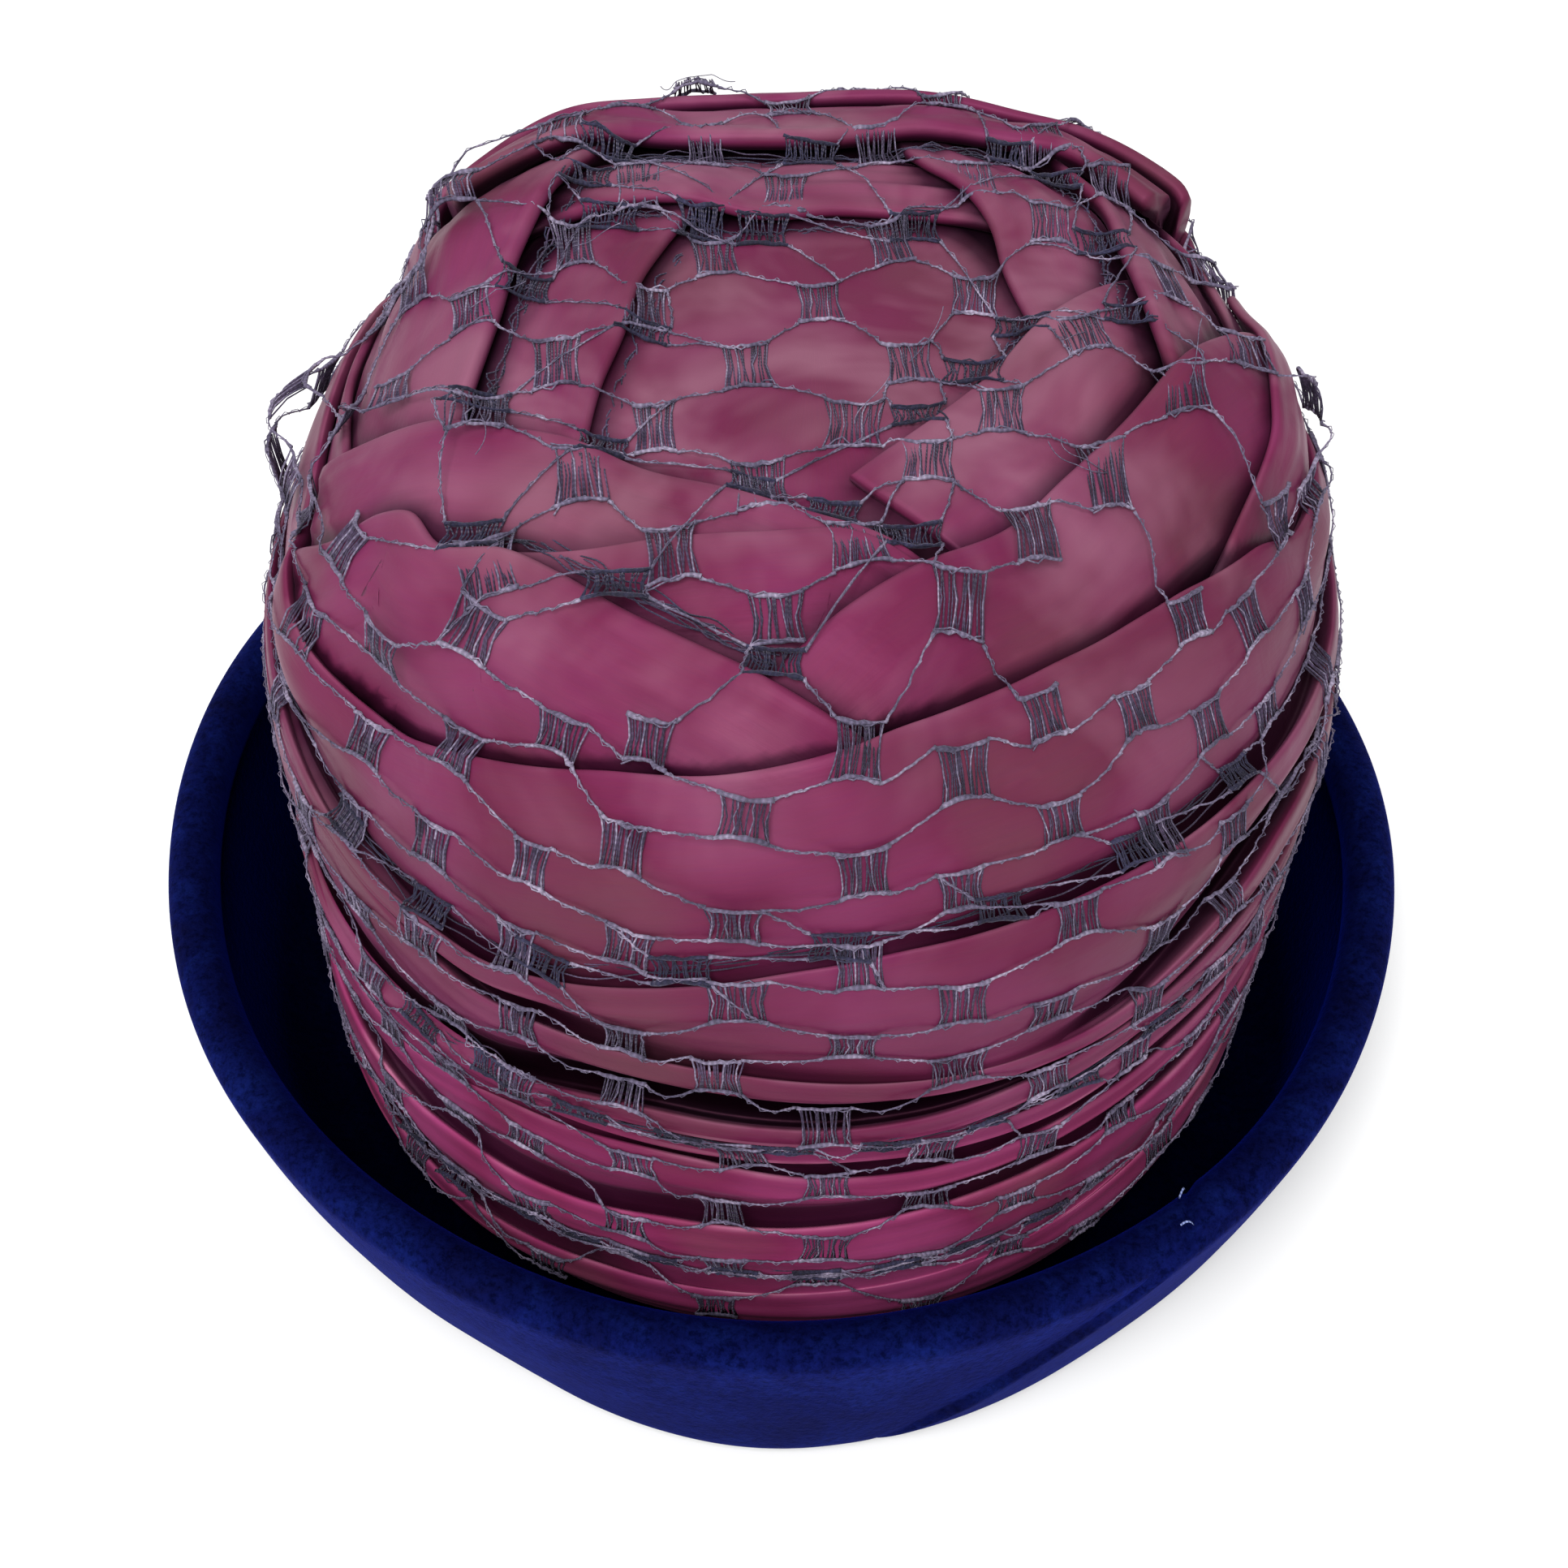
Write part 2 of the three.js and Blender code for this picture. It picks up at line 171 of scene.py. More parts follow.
def new_piece(name, bodies, material, nodes):
    """A piece of joined closed bodies, each as skin gives it. It rides on the hat's one body, stands
    for its CAD nodes, which it hides, and takes the given finish. Its corner measures become its UV map."""
    offsets = np.concatenate([[0], np.cumsum([len(body[0]) for body in bodies])])
    vertices = np.concatenate([body[0] for body in bodies]) / 1000
    corners, sizes, measures = [], [], []
    for body, offset in zip(bodies, offsets):
        for faces in (body[1], body[2]):
            corners.append((faces + offset).ravel())
            sizes.append(np.full(len(faces), faces.shape[1]))
        measures.append(body[3])
    corners, sizes = np.concatenate(corners), np.concatenate(sizes)
    mesh = bpy.data.meshes.new(name)
    mesh.vertices.add(len(vertices))
    mesh.vertices.foreach_set("co", vertices.astype(np.float32).ravel())
    mesh.loops.add(len(corners))
    mesh.loops.foreach_set("vertex_index", corners.astype(np.int32))
    mesh.polygons.add(len(sizes))
    starts = np.concatenate([[0], np.cumsum(sizes)[:-1]])
    mesh.polygons.foreach_set("loop_start", starts.astype(np.int32))
    mesh.polygons.foreach_set("use_smooth", np.ones(len(sizes), bool))
    layer = mesh.uv_layers.new(name="cloth")
    mesh.update(calc_edges=True)
    mesh.validate()
    layer = mesh.uv_layers["cloth"]
    flat = np.concatenate(measures)
    if len(flat) == len(mesh.loops):
        layer.data.foreach_set("uv", (flat / 1000).astype(np.float32).ravel())
    mesh.materials.append(material)
    piece = bpy.data.objects.new(name, mesh)
    bpy.context.collection.objects.link(piece)
    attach(piece, "root")
    if nodes:
        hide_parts(*nodes)
    return piece


def linear(code):
    """A six-digit sRGB colour as linear red, green, blue and full alpha."""
    channels = np.array([int(code[k:k + 2], 16) for k in (0, 2, 4)]) / 255
    low = channels / 12.92
    high = ((channels + 0.055) / 1.055) ** 2.4
    return (*np.where(channels <= 0.04045, low, high), 1.0)


def node(tree, kind, inputs=(), links=(), stops=(), **settings):
    """Adds a node with its settings, its input values, the sockets linked into its inputs and, on a
    colour ramp, its stops of place and colour."""
    made = tree.nodes.new("ShaderNode" + kind)
    for key, value in settings.items():
        setattr(made, key, value)
    for key, value in dict(inputs).items():
        made.inputs[key].default_value = value
    for key, socket in dict(links).items():
        tree.links.new(socket, made.inputs[key])
    if stops:
        elements = made.color_ramp.elements
        for _ in stops[2:]:
            elements.new(0.5)
        for element, (place, code) in zip(elements, stops):
            element.position, element.color = place, linear(code)
    return made


def new_material(name):
    """An empty node material with its output, and its tree."""
    made = bpy.data.materials.new(name)
    made.use_nodes = True
    made.node_tree.nodes.clear()
    return made, made.node_tree


def finish_material(tree, shader):
    """Links a shader to the material's output."""
    node(tree, "OutputMaterial", links={"Surface": shader.outputs["BSDF"]}, is_active_output=True)


def form_swell(distance):
    """How much further out the form stands below its shoulder, by distance from the middle of its top:
    a smooth step from 100 to 120 mm."""
    return (FORM_SIDE - FORM_LIFT) * smooth((distance - 100) / 20)


MULTIPLY = {"data_type": "RGBA", "blend_type": "MULTIPLY"}      # how one tone darkens another


# Acetate satin, woven smooth side out and faded: a soft sheen that follows the threads, dust on what
# faces up, patches about 38 mm across that have browned with age, smudges of about 30 mm and creases
# of about 10 mm. The weave is drawn 0.6 mm apart, coarser than it is, to show. Shade is painted dark
# into the depths of the folds, light is painted onto the foot that the brim shades, and the top is
# painted a little lighter.
satin, tree = new_material("acetate satin, raspberry")
place = node(tree, "TexCoord")
patches = node(tree, "TexNoise", links={"Vector": place.outputs["Object"]},
               inputs={"Scale": 26.0, "Detail": 2.5, "Roughness": 0.5})
aged = node(tree, "ValToRGB", links={"Fac": patches.outputs["Fac"]},
            stops=[(0.30, "5c2d3d"), (0.47, "5f1e3d"), (0.66, "6e2a4e")])
slubs = node(tree, "Mapping", links={"Vector": place.outputs["UV"]},
             inputs={"Scale": (160.0, 1700.0, 1.0)})
weave = node(tree, "TexNoise", links={"Vector": slubs.outputs["Vector"]},
             inputs={"Scale": 1.0, "Detail": 2.0, "Roughness": 0.6})
woven = node(tree, "Mix", **MULTIPLY, inputs={0: 0.16},
             links={6: aged.outputs["Color"], 7: weave.outputs["Color"]})
surface = node(tree, "NewGeometry")
upward = node(tree, "SeparateXYZ", links={"Vector": surface.outputs["Normal"]})
settled = node(tree, "MapRange", links={"Value": upward.outputs["Z"]},
               inputs={"From Min": 0.1, "To Max": 0.62})
smudges = node(tree, "TexNoise", links={"Vector": place.outputs["Object"]},
               inputs={"Scale": 34.0, "Detail": 3.0, "Roughness": 0.6, "Distortion": 0.4})
dirt = node(tree, "ValToRGB", links={"Fac": smudges.outputs["Fac"]},
            stops=[(0.42, "303030"), (0.66, "ffffff")])
thick_dust = node(tree, "Math", operation="MULTIPLY",
                  links={0: settled.outputs["Result"], 1: dirt.outputs["Color"]})
dusty = node(tree, "Mix", data_type="RGBA", inputs={7: linear("865a6c")},
             links={0: thick_dust.outputs[0], 6: woven.outputs[2]})
# Painted shade: the colour darkens towards near black where the satin lies deep in a fold.
deep = node(tree, "Attribute", attribute_name="fold_depth")
shadow = node(tree, "ValToRGB", links={"Fac": deep.outputs["Fac"]},
              stops=[(0.0, "ffffff"), (0.45, "8c8a94"), (1.0, "302f3c")])
fold_shade_painted = node(tree, "Mix", **MULTIPLY, inputs={0: 1.0},
              links={6: dusty.outputs[2], 7: shadow.outputs["Color"]})
# Painted light by height: the colour is 2.3 times brighter low on the side, where the brim shades it,
# falling to 0.84 times above 75 mm, and over the top it is painted up to 1.19 times lighter.
rise = node(tree, "SeparateXYZ", links={"Vector": place.outputs["Object"]})
painted_light_low = node(tree, "MapRange", links={"Value": rise.outputs["Z"]},
               inputs={"From Min": 0.035, "From Max": 0.075, "To Min": 2.3, "To Max": 0.84})
painted_light_top = node(tree, "MapRange", links={"Value": rise.outputs["Z"]},
                inputs={"From Min": 0.108, "From Max": 0.125, "To Min": 1.0, "To Max": 1.19})
painted_light_by_height = node(tree, "Math", operation="MULTIPLY",
               links={0: painted_light_low.outputs["Result"], 1: painted_light_top.outputs["Result"]})
satin_with_painted_light = node(tree, "Mix", **MULTIPLY, inputs={0: 1.0},
                 links={6: fold_shade_painted.outputs[2], 7: painted_light_by_height.outputs[0]})
creases = node(tree, "TexNoise", links={"Vector": place.outputs["Object"]},
               inputs={"Scale": 95.0, "Detail": 3.0, "Roughness": 0.55, "Distortion": 0.6})
relief = node(tree, "Mix", data_type="FLOAT", inputs={0: 0.12},
              links={2: creases.outputs["Fac"], 3: weave.outputs["Fac"]})
bump = node(tree, "Bump", links={"Height": relief.outputs[0]},
            inputs={"Strength": 0.22, "Distance": 0.0012})
gloss = node(tree, "MapRange", links={"Value": patches.outputs["Fac"]},
             inputs={"To Min": 0.50, "To Max": 0.40})
finish_material(tree, node(
    tree, "BsdfPrincipled",
    inputs={"IOR": 1.47, "Specular IOR Level": 0.24, "Specular Tint": linear("e08ab4"),
            "Sheen Weight": 0.08, "Sheen Roughness": 0.35, "Sheen Tint": linear("c87aa8"),
            "Anisotropic": 0.35},
    links={"Base Color": satin_with_painted_light.outputs[2], "Roughness": gloss.outputs["Result"],
           "Normal": bump.outputs["Normal"]}))

# The form's loops run down its inside and back up its outside.
ROUND = 2 * pi * np.arange(240) / 240
inside = np.concatenate([np.linspace(3, 72, 47), np.linspace(74, 128, 24),
                         np.linspace(134, SIDE_LENGTH - FORM_FOOT, 14)])
form_levels = np.concatenate([inside, inside[::-1]])
form_lifts = np.repeat([FORM_LIFT - FORM_WALL, FORM_LIFT], len(inside)) + form_swell(form_levels)
form_places = np.broadcast_arrays(ROUND[None, :], form_levels[:, None], form_lifts[:, None])
crown = new_piece("crown_form", [skin(lifted(*form_places))], satin, ["crown_shell"])


# ---- Bands over the top --------------------------------------------------------------------------
# Bias-cut satin, folded double and pulled flat across the top, each band over the end of the one
# before. Their folded edges face the middle, with a dark line of shadow under each. They are sewn
# down out of sight, under the next band or the side drape.

GRID_HALF = 122         # the map of how high the cloth has been laid reaches this far, in 1 mm steps
CLEAR = 0.12            # air between two layers
PULLS, FINE_PULLS = 8.5, 4.7    # between the long creases of a band that is pulled tight
EDGE_STEP = 1.1         # between the points of a fold
BANDS = [
    # edge: points of the folded edge on the flattened top, clockwise; reach: how far the cloth runs
    # back from it; ply: its folded thickness; belly: its soft rise; pulls: height of its long creases
    {"piece": "left_inner_band", "reach": 27, "ply": 2.2, "belly": 0.9, "pulls": 0.22,
     "edge": [(-38, -58), (-35, -42), (-33, -25), (-30, -10), (-29, 0), (-25, 14), (-19, 30)]},
    {"piece": "front_inner_band", "reach": 20, "ply": 2.2, "belly": 1.1, "pulls": 0.35,
     "edge": [(-60, 10), (-41, 19), (-35, 22), (-22, 24), (-9, 23), (4, 26), (14, 26), (24, 25),
              (42, 18)]},
    {"piece": "right_inner_band", "reach": 24, "ply": 2.0, "belly": 0.9, "pulls": 0.25,
     "edge": [(12, 56), (18, 39), (24, 31), (29, 21), (31, 10), (35, -5), (40, -24)]},
    {"piece": "right_upper_lap", "reach": 32, "ply": 1.4, "belly": 0.8, "pulls": 0.15,
     "edge": [(56, 14), (40, -2), (34, -9), (29, -17), (20, -29), (6, -46)]},
    {"piece": "right_outer_band", "reach": 30, "ply": 3.0, "belly": 1.0, "pulls": 0.35,
     "edge": [(38, 58), (44, 41), (49, 30), (51, 17), (52, 6), (54, -7), (60, -30)]},
    {"piece": "right_outer_band", "reach": 26, "ply": 1.6, "belly": 0.8, "pulls": 0.3,
     "edge": [(56, 62), (66, 40), (70, 20), (71, 4), (74, -20)]},
    {"piece": "left_outer_band", "reach": 38, "ply": 3.2, "belly": 1.5, "pulls": 0.25,
     "edge": [(-58, -66), (-56, -52), (-55, -37), (-53, -25), (-51, -10), (-49, 7), (-46, 17),
              (-40, 35), (-32, 54)]},
    {"piece": "left_outer_band", "reach": 26, "ply": 1.6, "belly": 0.8, "pulls": 0.3,
     "edge": [(-72, -60), (-79, -36), (-82, -27), (-85, -15), (-88, 6), (-84, 30)]},
    {"piece": "front_outer_band", "reach": 26, "ply": 3.4, "belly": 2.2, "pulls": 0.3,
     "edge": [(-62, 30), (-40, 41), (-26, 45), (-2, 46), (10, 49), (21, 50), (39, 48), (58, 38)]},
    {"piece": "front_outer_band", "reach": 30, "ply": 2.6, "belly": 2.2, "pulls": 0.3,
     "edge": [(-72, 44), (-50, 58), (-20, 66), (10, 68), (40, 63), (66, 48)]},
    {"piece": "back_left_lap", "reach": 48, "ply": 1.9, "belly": 0.9, "pulls": 0.2,
     "edge": [(28, -72), (11, -59), (1, -55), (-11, -50), (-25, -46), (-34, -42), (-51, -37),
              (-68, -32), (-85, -27)]},
    {"piece": "back_left_lap", "reach": 38, "ply": 1.0, "belly": 0.7, "pulls": 0.2,
     "edge": [(24, -70), (5, -59), (-6, -60), (-18, -61), (-36, -63), (-60, -58)]},
    {"piece": "right_lower_lap", "reach": 38, "ply": 2.0, "belly": 1.0, "pulls": 0.12,
     "edge": [(84, 14), (69, -1), (60, -12), (49, -30), (39, -44), (30, -56), (19, -64), (5, -75),
              (-4, -84), (-16, -94)]},
    {"piece": "right_lower_lap", "reach": 24, "ply": 1.5, "belly": 0.8, "pulls": 0.25,
     "edge": [(74, 20), (74, 4), (74, -12), (75, -27), (72, -45), (66, -60)]},
    {"piece": "back_right_lap", "reach": 34, "ply": 2.2, "belly": 1.0, "pulls": 0.2,
     "edge": [(18, -98), (7, -92), (-8, -84), (-18, -79), (-27, -74), (-37, -67), (-45, -62),
              (-55, -59), (-60, -52), (-65, -50), (-76, -49), (-90, -42)]},
]


def line_through(points, spacing):
    """A smooth line through points, evenly spaced: cubic pieces whose slope at each point is that of
    the line between its neighbours."""
    points = np.asarray(points, float)
    gaps = np.linalg.norm(np.diff(points, axis=0), axis=1)
    at = np.concatenate([[0], np.cumsum(gaps)])
    slopes = np.gradient(points, at, axis=0)
    fine = np.linspace(0, at[-1], int(at[-1] * 4) + 2)
    k = np.clip(np.searchsorted(at, fine, "right") - 1, 0, len(gaps) - 1)
    h = gaps[k][:, None]
    t = (fine - at[k])[:, None] / h
    line = ((2 * t**3 - 3 * t**2 + 1) * points[k] + (t**3 - 2 * t**2 + t) * h * slopes[k]
            + (3 * t**2 - 2 * t**3) * points[k + 1] + (t**3 - t**2) * h * slopes[k + 1])
    run = np.concatenate([[0], np.cumsum(np.linalg.norm(np.diff(line, axis=0), axis=1))])
    even = np.linspace(0, run[-1], max(int(run[-1] / spacing), 3))
    return np.stack([np.interp(even, run, line[:, k]) for k in range(line.shape[1])], -1), even


def ways_along(line):
    """Unit ways ahead along a line, and square to it on its left, from the steps between its points."""
    ahead = np.gradient(line, axis=0)
    ahead /= np.linalg.norm(ahead, axis=1, keepdims=True)
    return ahead, np.stack([-ahead[:, 1], ahead[:, 0]], -1)


def pulled_taut(height, rounds=90):
    """Cloth pulled over a height map: each cell settles to the mean of its neighbours, but no lower
    than what is under it."""
    cloth = height.copy()
    for _ in range(rounds):
        mean = (np.roll(cloth, 1, 0) + np.roll(cloth, -1, 0) + np.roll(cloth, 1, 1)
                + np.roll(cloth, -1, 1)) / 4
        cloth = np.maximum(height, mean)
    return cloth


def softened(height, rounds=6):
    """A height map whose steps are rounded off by averaging neighbours."""
    for _ in range(rounds):
        height = (height * 2 + np.roll(height, 1, 0) + np.roll(height, -1, 0)
                  + np.roll(height, 1, 1) + np.roll(height, -1, 1)) / 6
    return height


def read_map(grid, across, along):
    """The height map read between its cells."""
    x = np.clip(across + GRID_HALF, 0, 2 * GRID_HALF - 1.001)
    y = np.clip(along + GRID_HALF, 0, 2 * GRID_HALF - 1.001)
    i, j = x.astype(int), y.astype(int)
    u, v = x - i, y - j
    return ((1 - u) * (1 - v) * grid[i, j] + u * (1 - v) * grid[i + 1, j]
            + (1 - u) * v * grid[i, j + 1] + u * v * grid[i + 1, j + 1])


def cloth_height(band, depth, run, phase):
    """Height of a band over the cloth under it: its ply, plus a belly that rises and falls from the
    fold to the tucked side, plus long creases that wander along the band."""
    part = np.clip(depth / band["reach"], 0, 1)
    belly = band["belly"] * np.sin(pi * np.clip(depth / (band["reach"] * 0.9), 0, 1)) ** 0.8
    wander = 2.2 * np.sin(run / 15 + phase) + 1.1 * np.sin(run / 6.3 + 2.1 * phase)
    waves = (np.sin((depth + wander) * 2 * pi / PULLS + phase)
             + 0.6 * np.sin((depth - wander) * 2 * pi / FINE_PULLS))
    fades = smooth(depth / 4) * (0.55 + 0.45 * np.sin(run / 11 + 3 * phase))
    return band["ply"] * (1 - 0.35 * part) + belly + band["pulls"] * waves * fades


def band_body(band, under, phase):
    """The closed body of one band, and the angles, distances and lifts of its points. Its loops cross
    the band: the underside back to front, a half round at the fold, which gapes a little here and
    there, and the upper side front to back."""
    edge, run = line_through(band["edge"], EDGE_STEP)
    back = ways_along(edge)[1]
    nose = band["ply"] / 2
    turn = np.radians(np.linspace(-80, 80, 9))
    under_depth = np.linspace(band["reach"], nose, 9)
    over_depth = np.concatenate([np.linspace(nose, 6, 6)[1:], np.linspace(6, band["reach"], 22)[1:]])
    depth = np.concatenate([under_depth, nose * (1 - np.cos(turn)), over_depth])
    rise = np.concatenate([np.zeros(9), (1 + np.sin(turn)) / 2, np.ones(len(over_depth))])
    spots = edge[:, None, :] + back[:, None, :] * depth[None, :, None]
    base = read_map(under, spots[..., 0], spots[..., 1]) + CLEAR
    gape = (0.35 * band["ply"] * (1 - smooth(depth / 6))[None, :]
            * (0.6 + 0.4 * np.sin(run / 9 + phase))[:, None])
    height = cloth_height(band, depth[None, :], run[:, None], phase) + gape
    lift = base + gape + (height - gape) * rise[None, :]
    angle, distance = place_on_top(spots[..., 0], spots[..., 1])
    return skin(lifted(angle, distance, lift)), (angle, distance, lift)


def lay_band(band, laid, under, phase):
    """The height map with the band added: where the nearest point of its fold is less than its reach
    away, on the side where the cloth runs."""
    edge, run = line_through(band["edge"], EDGE_STEP)
    ahead, back = ways_along(edge)
    cells = CELLS.reshape(-1, 2)
    nearest = ((cells[:, None, :] - edge[None]) ** 2).sum(-1).argmin(1)
    away = cells - edge[nearest]
    depth = (away * back[nearest]).sum(1)
    past = np.abs((away * ahead[nearest]).sum(1))
    covers = ((depth >= 0) & (depth <= band["reach"]) & (past < 1.2)).reshape(laid.shape)
    top = under + CLEAR + cloth_height(band, depth, run[nearest], phase).reshape(laid.shape)
    return np.where(covers, np.maximum(top, laid), laid)


ticks = np.arange(-GRID_HALF, GRID_HALF + 1)
CELLS = np.stack(np.meshgrid(ticks, ticks, indexing="ij"), -1)
laid = FORM_LIFT + form_swell(place_on_top(CELLS[..., 0], CELLS[..., 1])[1])
laid_bands = {}
for order, band in enumerate(BANDS):
    under = softened(pulled_taut(laid))
    phase = 1.7 * order + 0.6
    laid_bands.setdefault(band["piece"], []).append(band_body(band, under, phase))
    laid = lay_band(band, laid, under, phase)
satin_places = {crown: [form_places]}
for name, parts in laid_bands.items():
    piece = new_piece(name + "_satin", [body for body, places in parts], satin, [name])
    satin_places[piece] = [places for body, places in parts]


# ---- Side drape ----------------------------------------------------------------------------------
# One wide strip of the same satin, wound round the side and laid in flat pleats. Each pleat's folded
# edge faces up, and its lower part runs in behind the next one down. The top fold covers the bands'
# ends. At the back the pleats spread, and at the sides they crowd together.

DRAPE_FOOT = 11.0
DRAPE_INSIDE = -5.9     # lift of the drape's inner face, down the side
INSIDE_TOP = 160.0      # the inner face is spaced as if the drape were as high as this
DRAPE_STEPS = 304       # round the hat
# A pleat's face starts so far below its fold's edge, at this lift. It ends so far above the next fold's
# edge, tucked in behind it at this lift, and a gap draws that end in.
FACE_BELOW, FACE_LIFT = 3.4, 1.2
TUCK_ABOVE, TUCK_LIFT, TUCK_DRAWN = 3.8, -1.2, 2.0
BELLY, RIPPLE = 0.75, 0.16              # the soft rise of a pleat's face, and of the small waves in it
PLEATS = [
    # at: degrees round the hat, the back at 270; height of the fold up the side; fold: 0 is flat and
    # 1 a full fold; gap: how far the cloth above is drawn in, which leaves the fold standing open
    {"at": [0, 90, 180, 205, 218, 225, 232, 240, 250, 260, 270, 280, 290, 300, 312, 320, 327, 335, 342],
     "height": [136, 146, 140, 133, 126, 125, 129, 133, 138, 141, 145, 149, 151, 152.5, 152.5, 151.5,
                149, 146, 139],
     "fold": [1] * 19, "gap": [0] * 19},
    {"at": [0, 90, 180, 225, 240, 250, 262, 270, 280, 290, 300, 320, 340],
     "height": [112, 116, 108, 99, 98, 102, 108, 112, 115, 116, 117, 116.5, 114],
     "fold": [1, 1, 1, 1, 0.9, 0.75, 0.7, 0.7, 0.8, 0.95, 1, 1, 1],
     "gap": [0.3, 0, 0.3, 0.3, 0.2, 0, 0, 0, 0, 0.15, 0.2, 0.5, 0.4]},
    {"at": [0, 90, 180, 220, 230, 238, 255, 265, 277, 285, 293, 300, 305, 312, 320, 327, 340],
     "height": [98, 99, 98, 97, 93, 89, 90, 90, 88, 86.5, 86, 86.5, 88, 93, 97, 100, 100],
     "fold": [1, 1, 1, 1, 1, 0.9, 0.7, 0.7, 0.6, 0.4, 0.3, 0.6, 0.9, 1, 1, 1, 1],
     "gap": [0.4, 0, 0.4, 0.5, 0.9, 0.6, 0.1, 0, 0, 0, 0, 0.2, 0.5, 0.8, 1, 0.9, 0.5]},
    {"at": [0, 90, 180, 218, 228, 238, 245, 252, 258, 275, 285, 292, 300, 307, 320, 340],
     "height": [84, 82, 70, 66, 67, 69, 73, 76, 77, 76, 77, 79, 81, 83, 86, 86],
     "fold": [1, 1, 1, 1, 1, 1, 1, 1, 1, 1, 1, 1, 1, 1, 1, 1],
     "gap": [0.4, 0, 0.2, 0.3, 0.4, 0.5, 0.9, 1, 1, 1, 0.9, 0.6, 0.4, 0.3, 0.4, 0.4]},
    {"at": [0, 90, 180, 240, 280, 292, 298, 303, 310, 320, 340],
     "height": [74, 72, 61, 69.5, 70, 70, 71, 73, 77, 77, 75],
     "fold": [1, 0.8, 0.6, 0.1, 0, 0.3, 0.8, 1, 1, 1, 1],
     "gap": [0.3, 0, 0, 0, 0, 0, 0.2, 0.3, 0.3, 0.3, 0.3]},
    {"at": [0, 90, 180, 225, 240, 256, 262, 268, 272, 285, 295, 303, 315, 340],
     "height": [64, 63, 53, 54, 62, 65.5, 65.5, 63.5, 62.5, 61.5, 62.5, 64, 66, 66],
     "fold": [1, 1, 0.8, 0.3, 0.3, 0.9, 1, 1, 1, 0.9, 0.9, 0.9, 0.9, 1],
     "gap": [0.3, 0, 0, 0, 0, 0.1, 0.2, 0.1, 0.2, 0.2, 0.2, 0.2, 0.3, 0.3]},
    {"at": [0, 90, 180, 215, 225, 233, 240, 250, 258, 270, 280, 290, 300, 315, 340],
     "height": [50, 49, 40, 37, 38, 40.5, 41, 43, 46, 47, 48.5, 50.5, 51.5, 53, 53],
     "fold": [1] * 15,
     "gap": [0.3, 0, 0.2, 0.3, 0.3, 0.2, 0.2, 0.3, 0.4, 0.3, 0.2, 0.2, 0.2, 0.3, 0.3]},
    {"at": [0, 90, 180, 220, 235, 250, 262, 275, 300, 320, 340],
     "height": [30, 29, 22, 19, 20, 24, 25, 25.5, 27, 31, 32],
     "fold": [1, 1, 0.7, 0.8, 0.9, 0.8, 0.5, 0.2, 0.1, 0.5, 0.9],
     "gap": [0.1, 0, 0.1, 0.1, 0.2, 0.1, 0, 0, 0, 0.1, 0.1]},
]
FOLD_SECTION = [
    # above: distance over the fold's edge where the cloth lies flat, and where it is folded;
    # lift: out from the drape's mean when folded; drawn: how far a gap draws the point in
    {"flat": 3.2, "above": 3.4, "lift": -1.2, "drawn": 2.0},
    {"flat": 2.2, "above": 1.0, "lift": -1.9, "drawn": 3.4},
    {"flat": 1.5, "above": -2.0, "lift": -2.2, "drawn": 3.4},
    {"flat": 1.0, "above": -5.0, "lift": -2.1, "drawn": 2.8},
    {"flat": 0.7, "above": -5.2, "lift": -1.5, "drawn": 2.2},
    {"flat": 0.4, "above": -3.0, "lift": -0.8, "drawn": 1.2},
    {"flat": 0.1, "above": -1.0, "lift": -0.3, "drawn": 0.4},
    {"flat": -0.4, "above": -0.15, "lift": 0.2, "drawn": 0},
    {"flat": -0.9, "above": 0.05, "lift": 0.62, "drawn": 0},
    {"flat": -1.4, "above": -0.3, "lift": 1.0, "drawn": 0},
    {"flat": -2.2, "above": -1.2, "lift": 1.2, "drawn": 0},
    {"flat": -3.4, "above": -3.4, "lift": 1.2, "drawn": 0},
]


def round_the_hat(at, values, angles, blur=2.0):
    """Values given at places round the hat, in degrees, joined by straight lines and then softened by
    averaging over a few degrees each side."""
    shifts = np.linspace(-blur, blur, 9)
    order = np.argsort(at)
    at, values = np.array(at, float)[order], np.array(values, float)[order]
    return np.mean([np.interp((angles + shift) % 360, at, values, period=360) for shift in shifts], 0)


drape_angle = 2 * pi * np.arange(DRAPE_STEPS) / DRAPE_STEPS
drape_degrees = np.degrees(drape_angle)
under = softened(pulled_taut(laid), 10)


def laid_under(height, angle):
    """Lift of the cloth under the drape at a height up the side."""
    distance = SIDE_LENGTH - height
    return np.where(distance < GRID_HALF - 8, read_map(under, *flat_place(angle, distance)),
                    DRAPE_INSIDE)


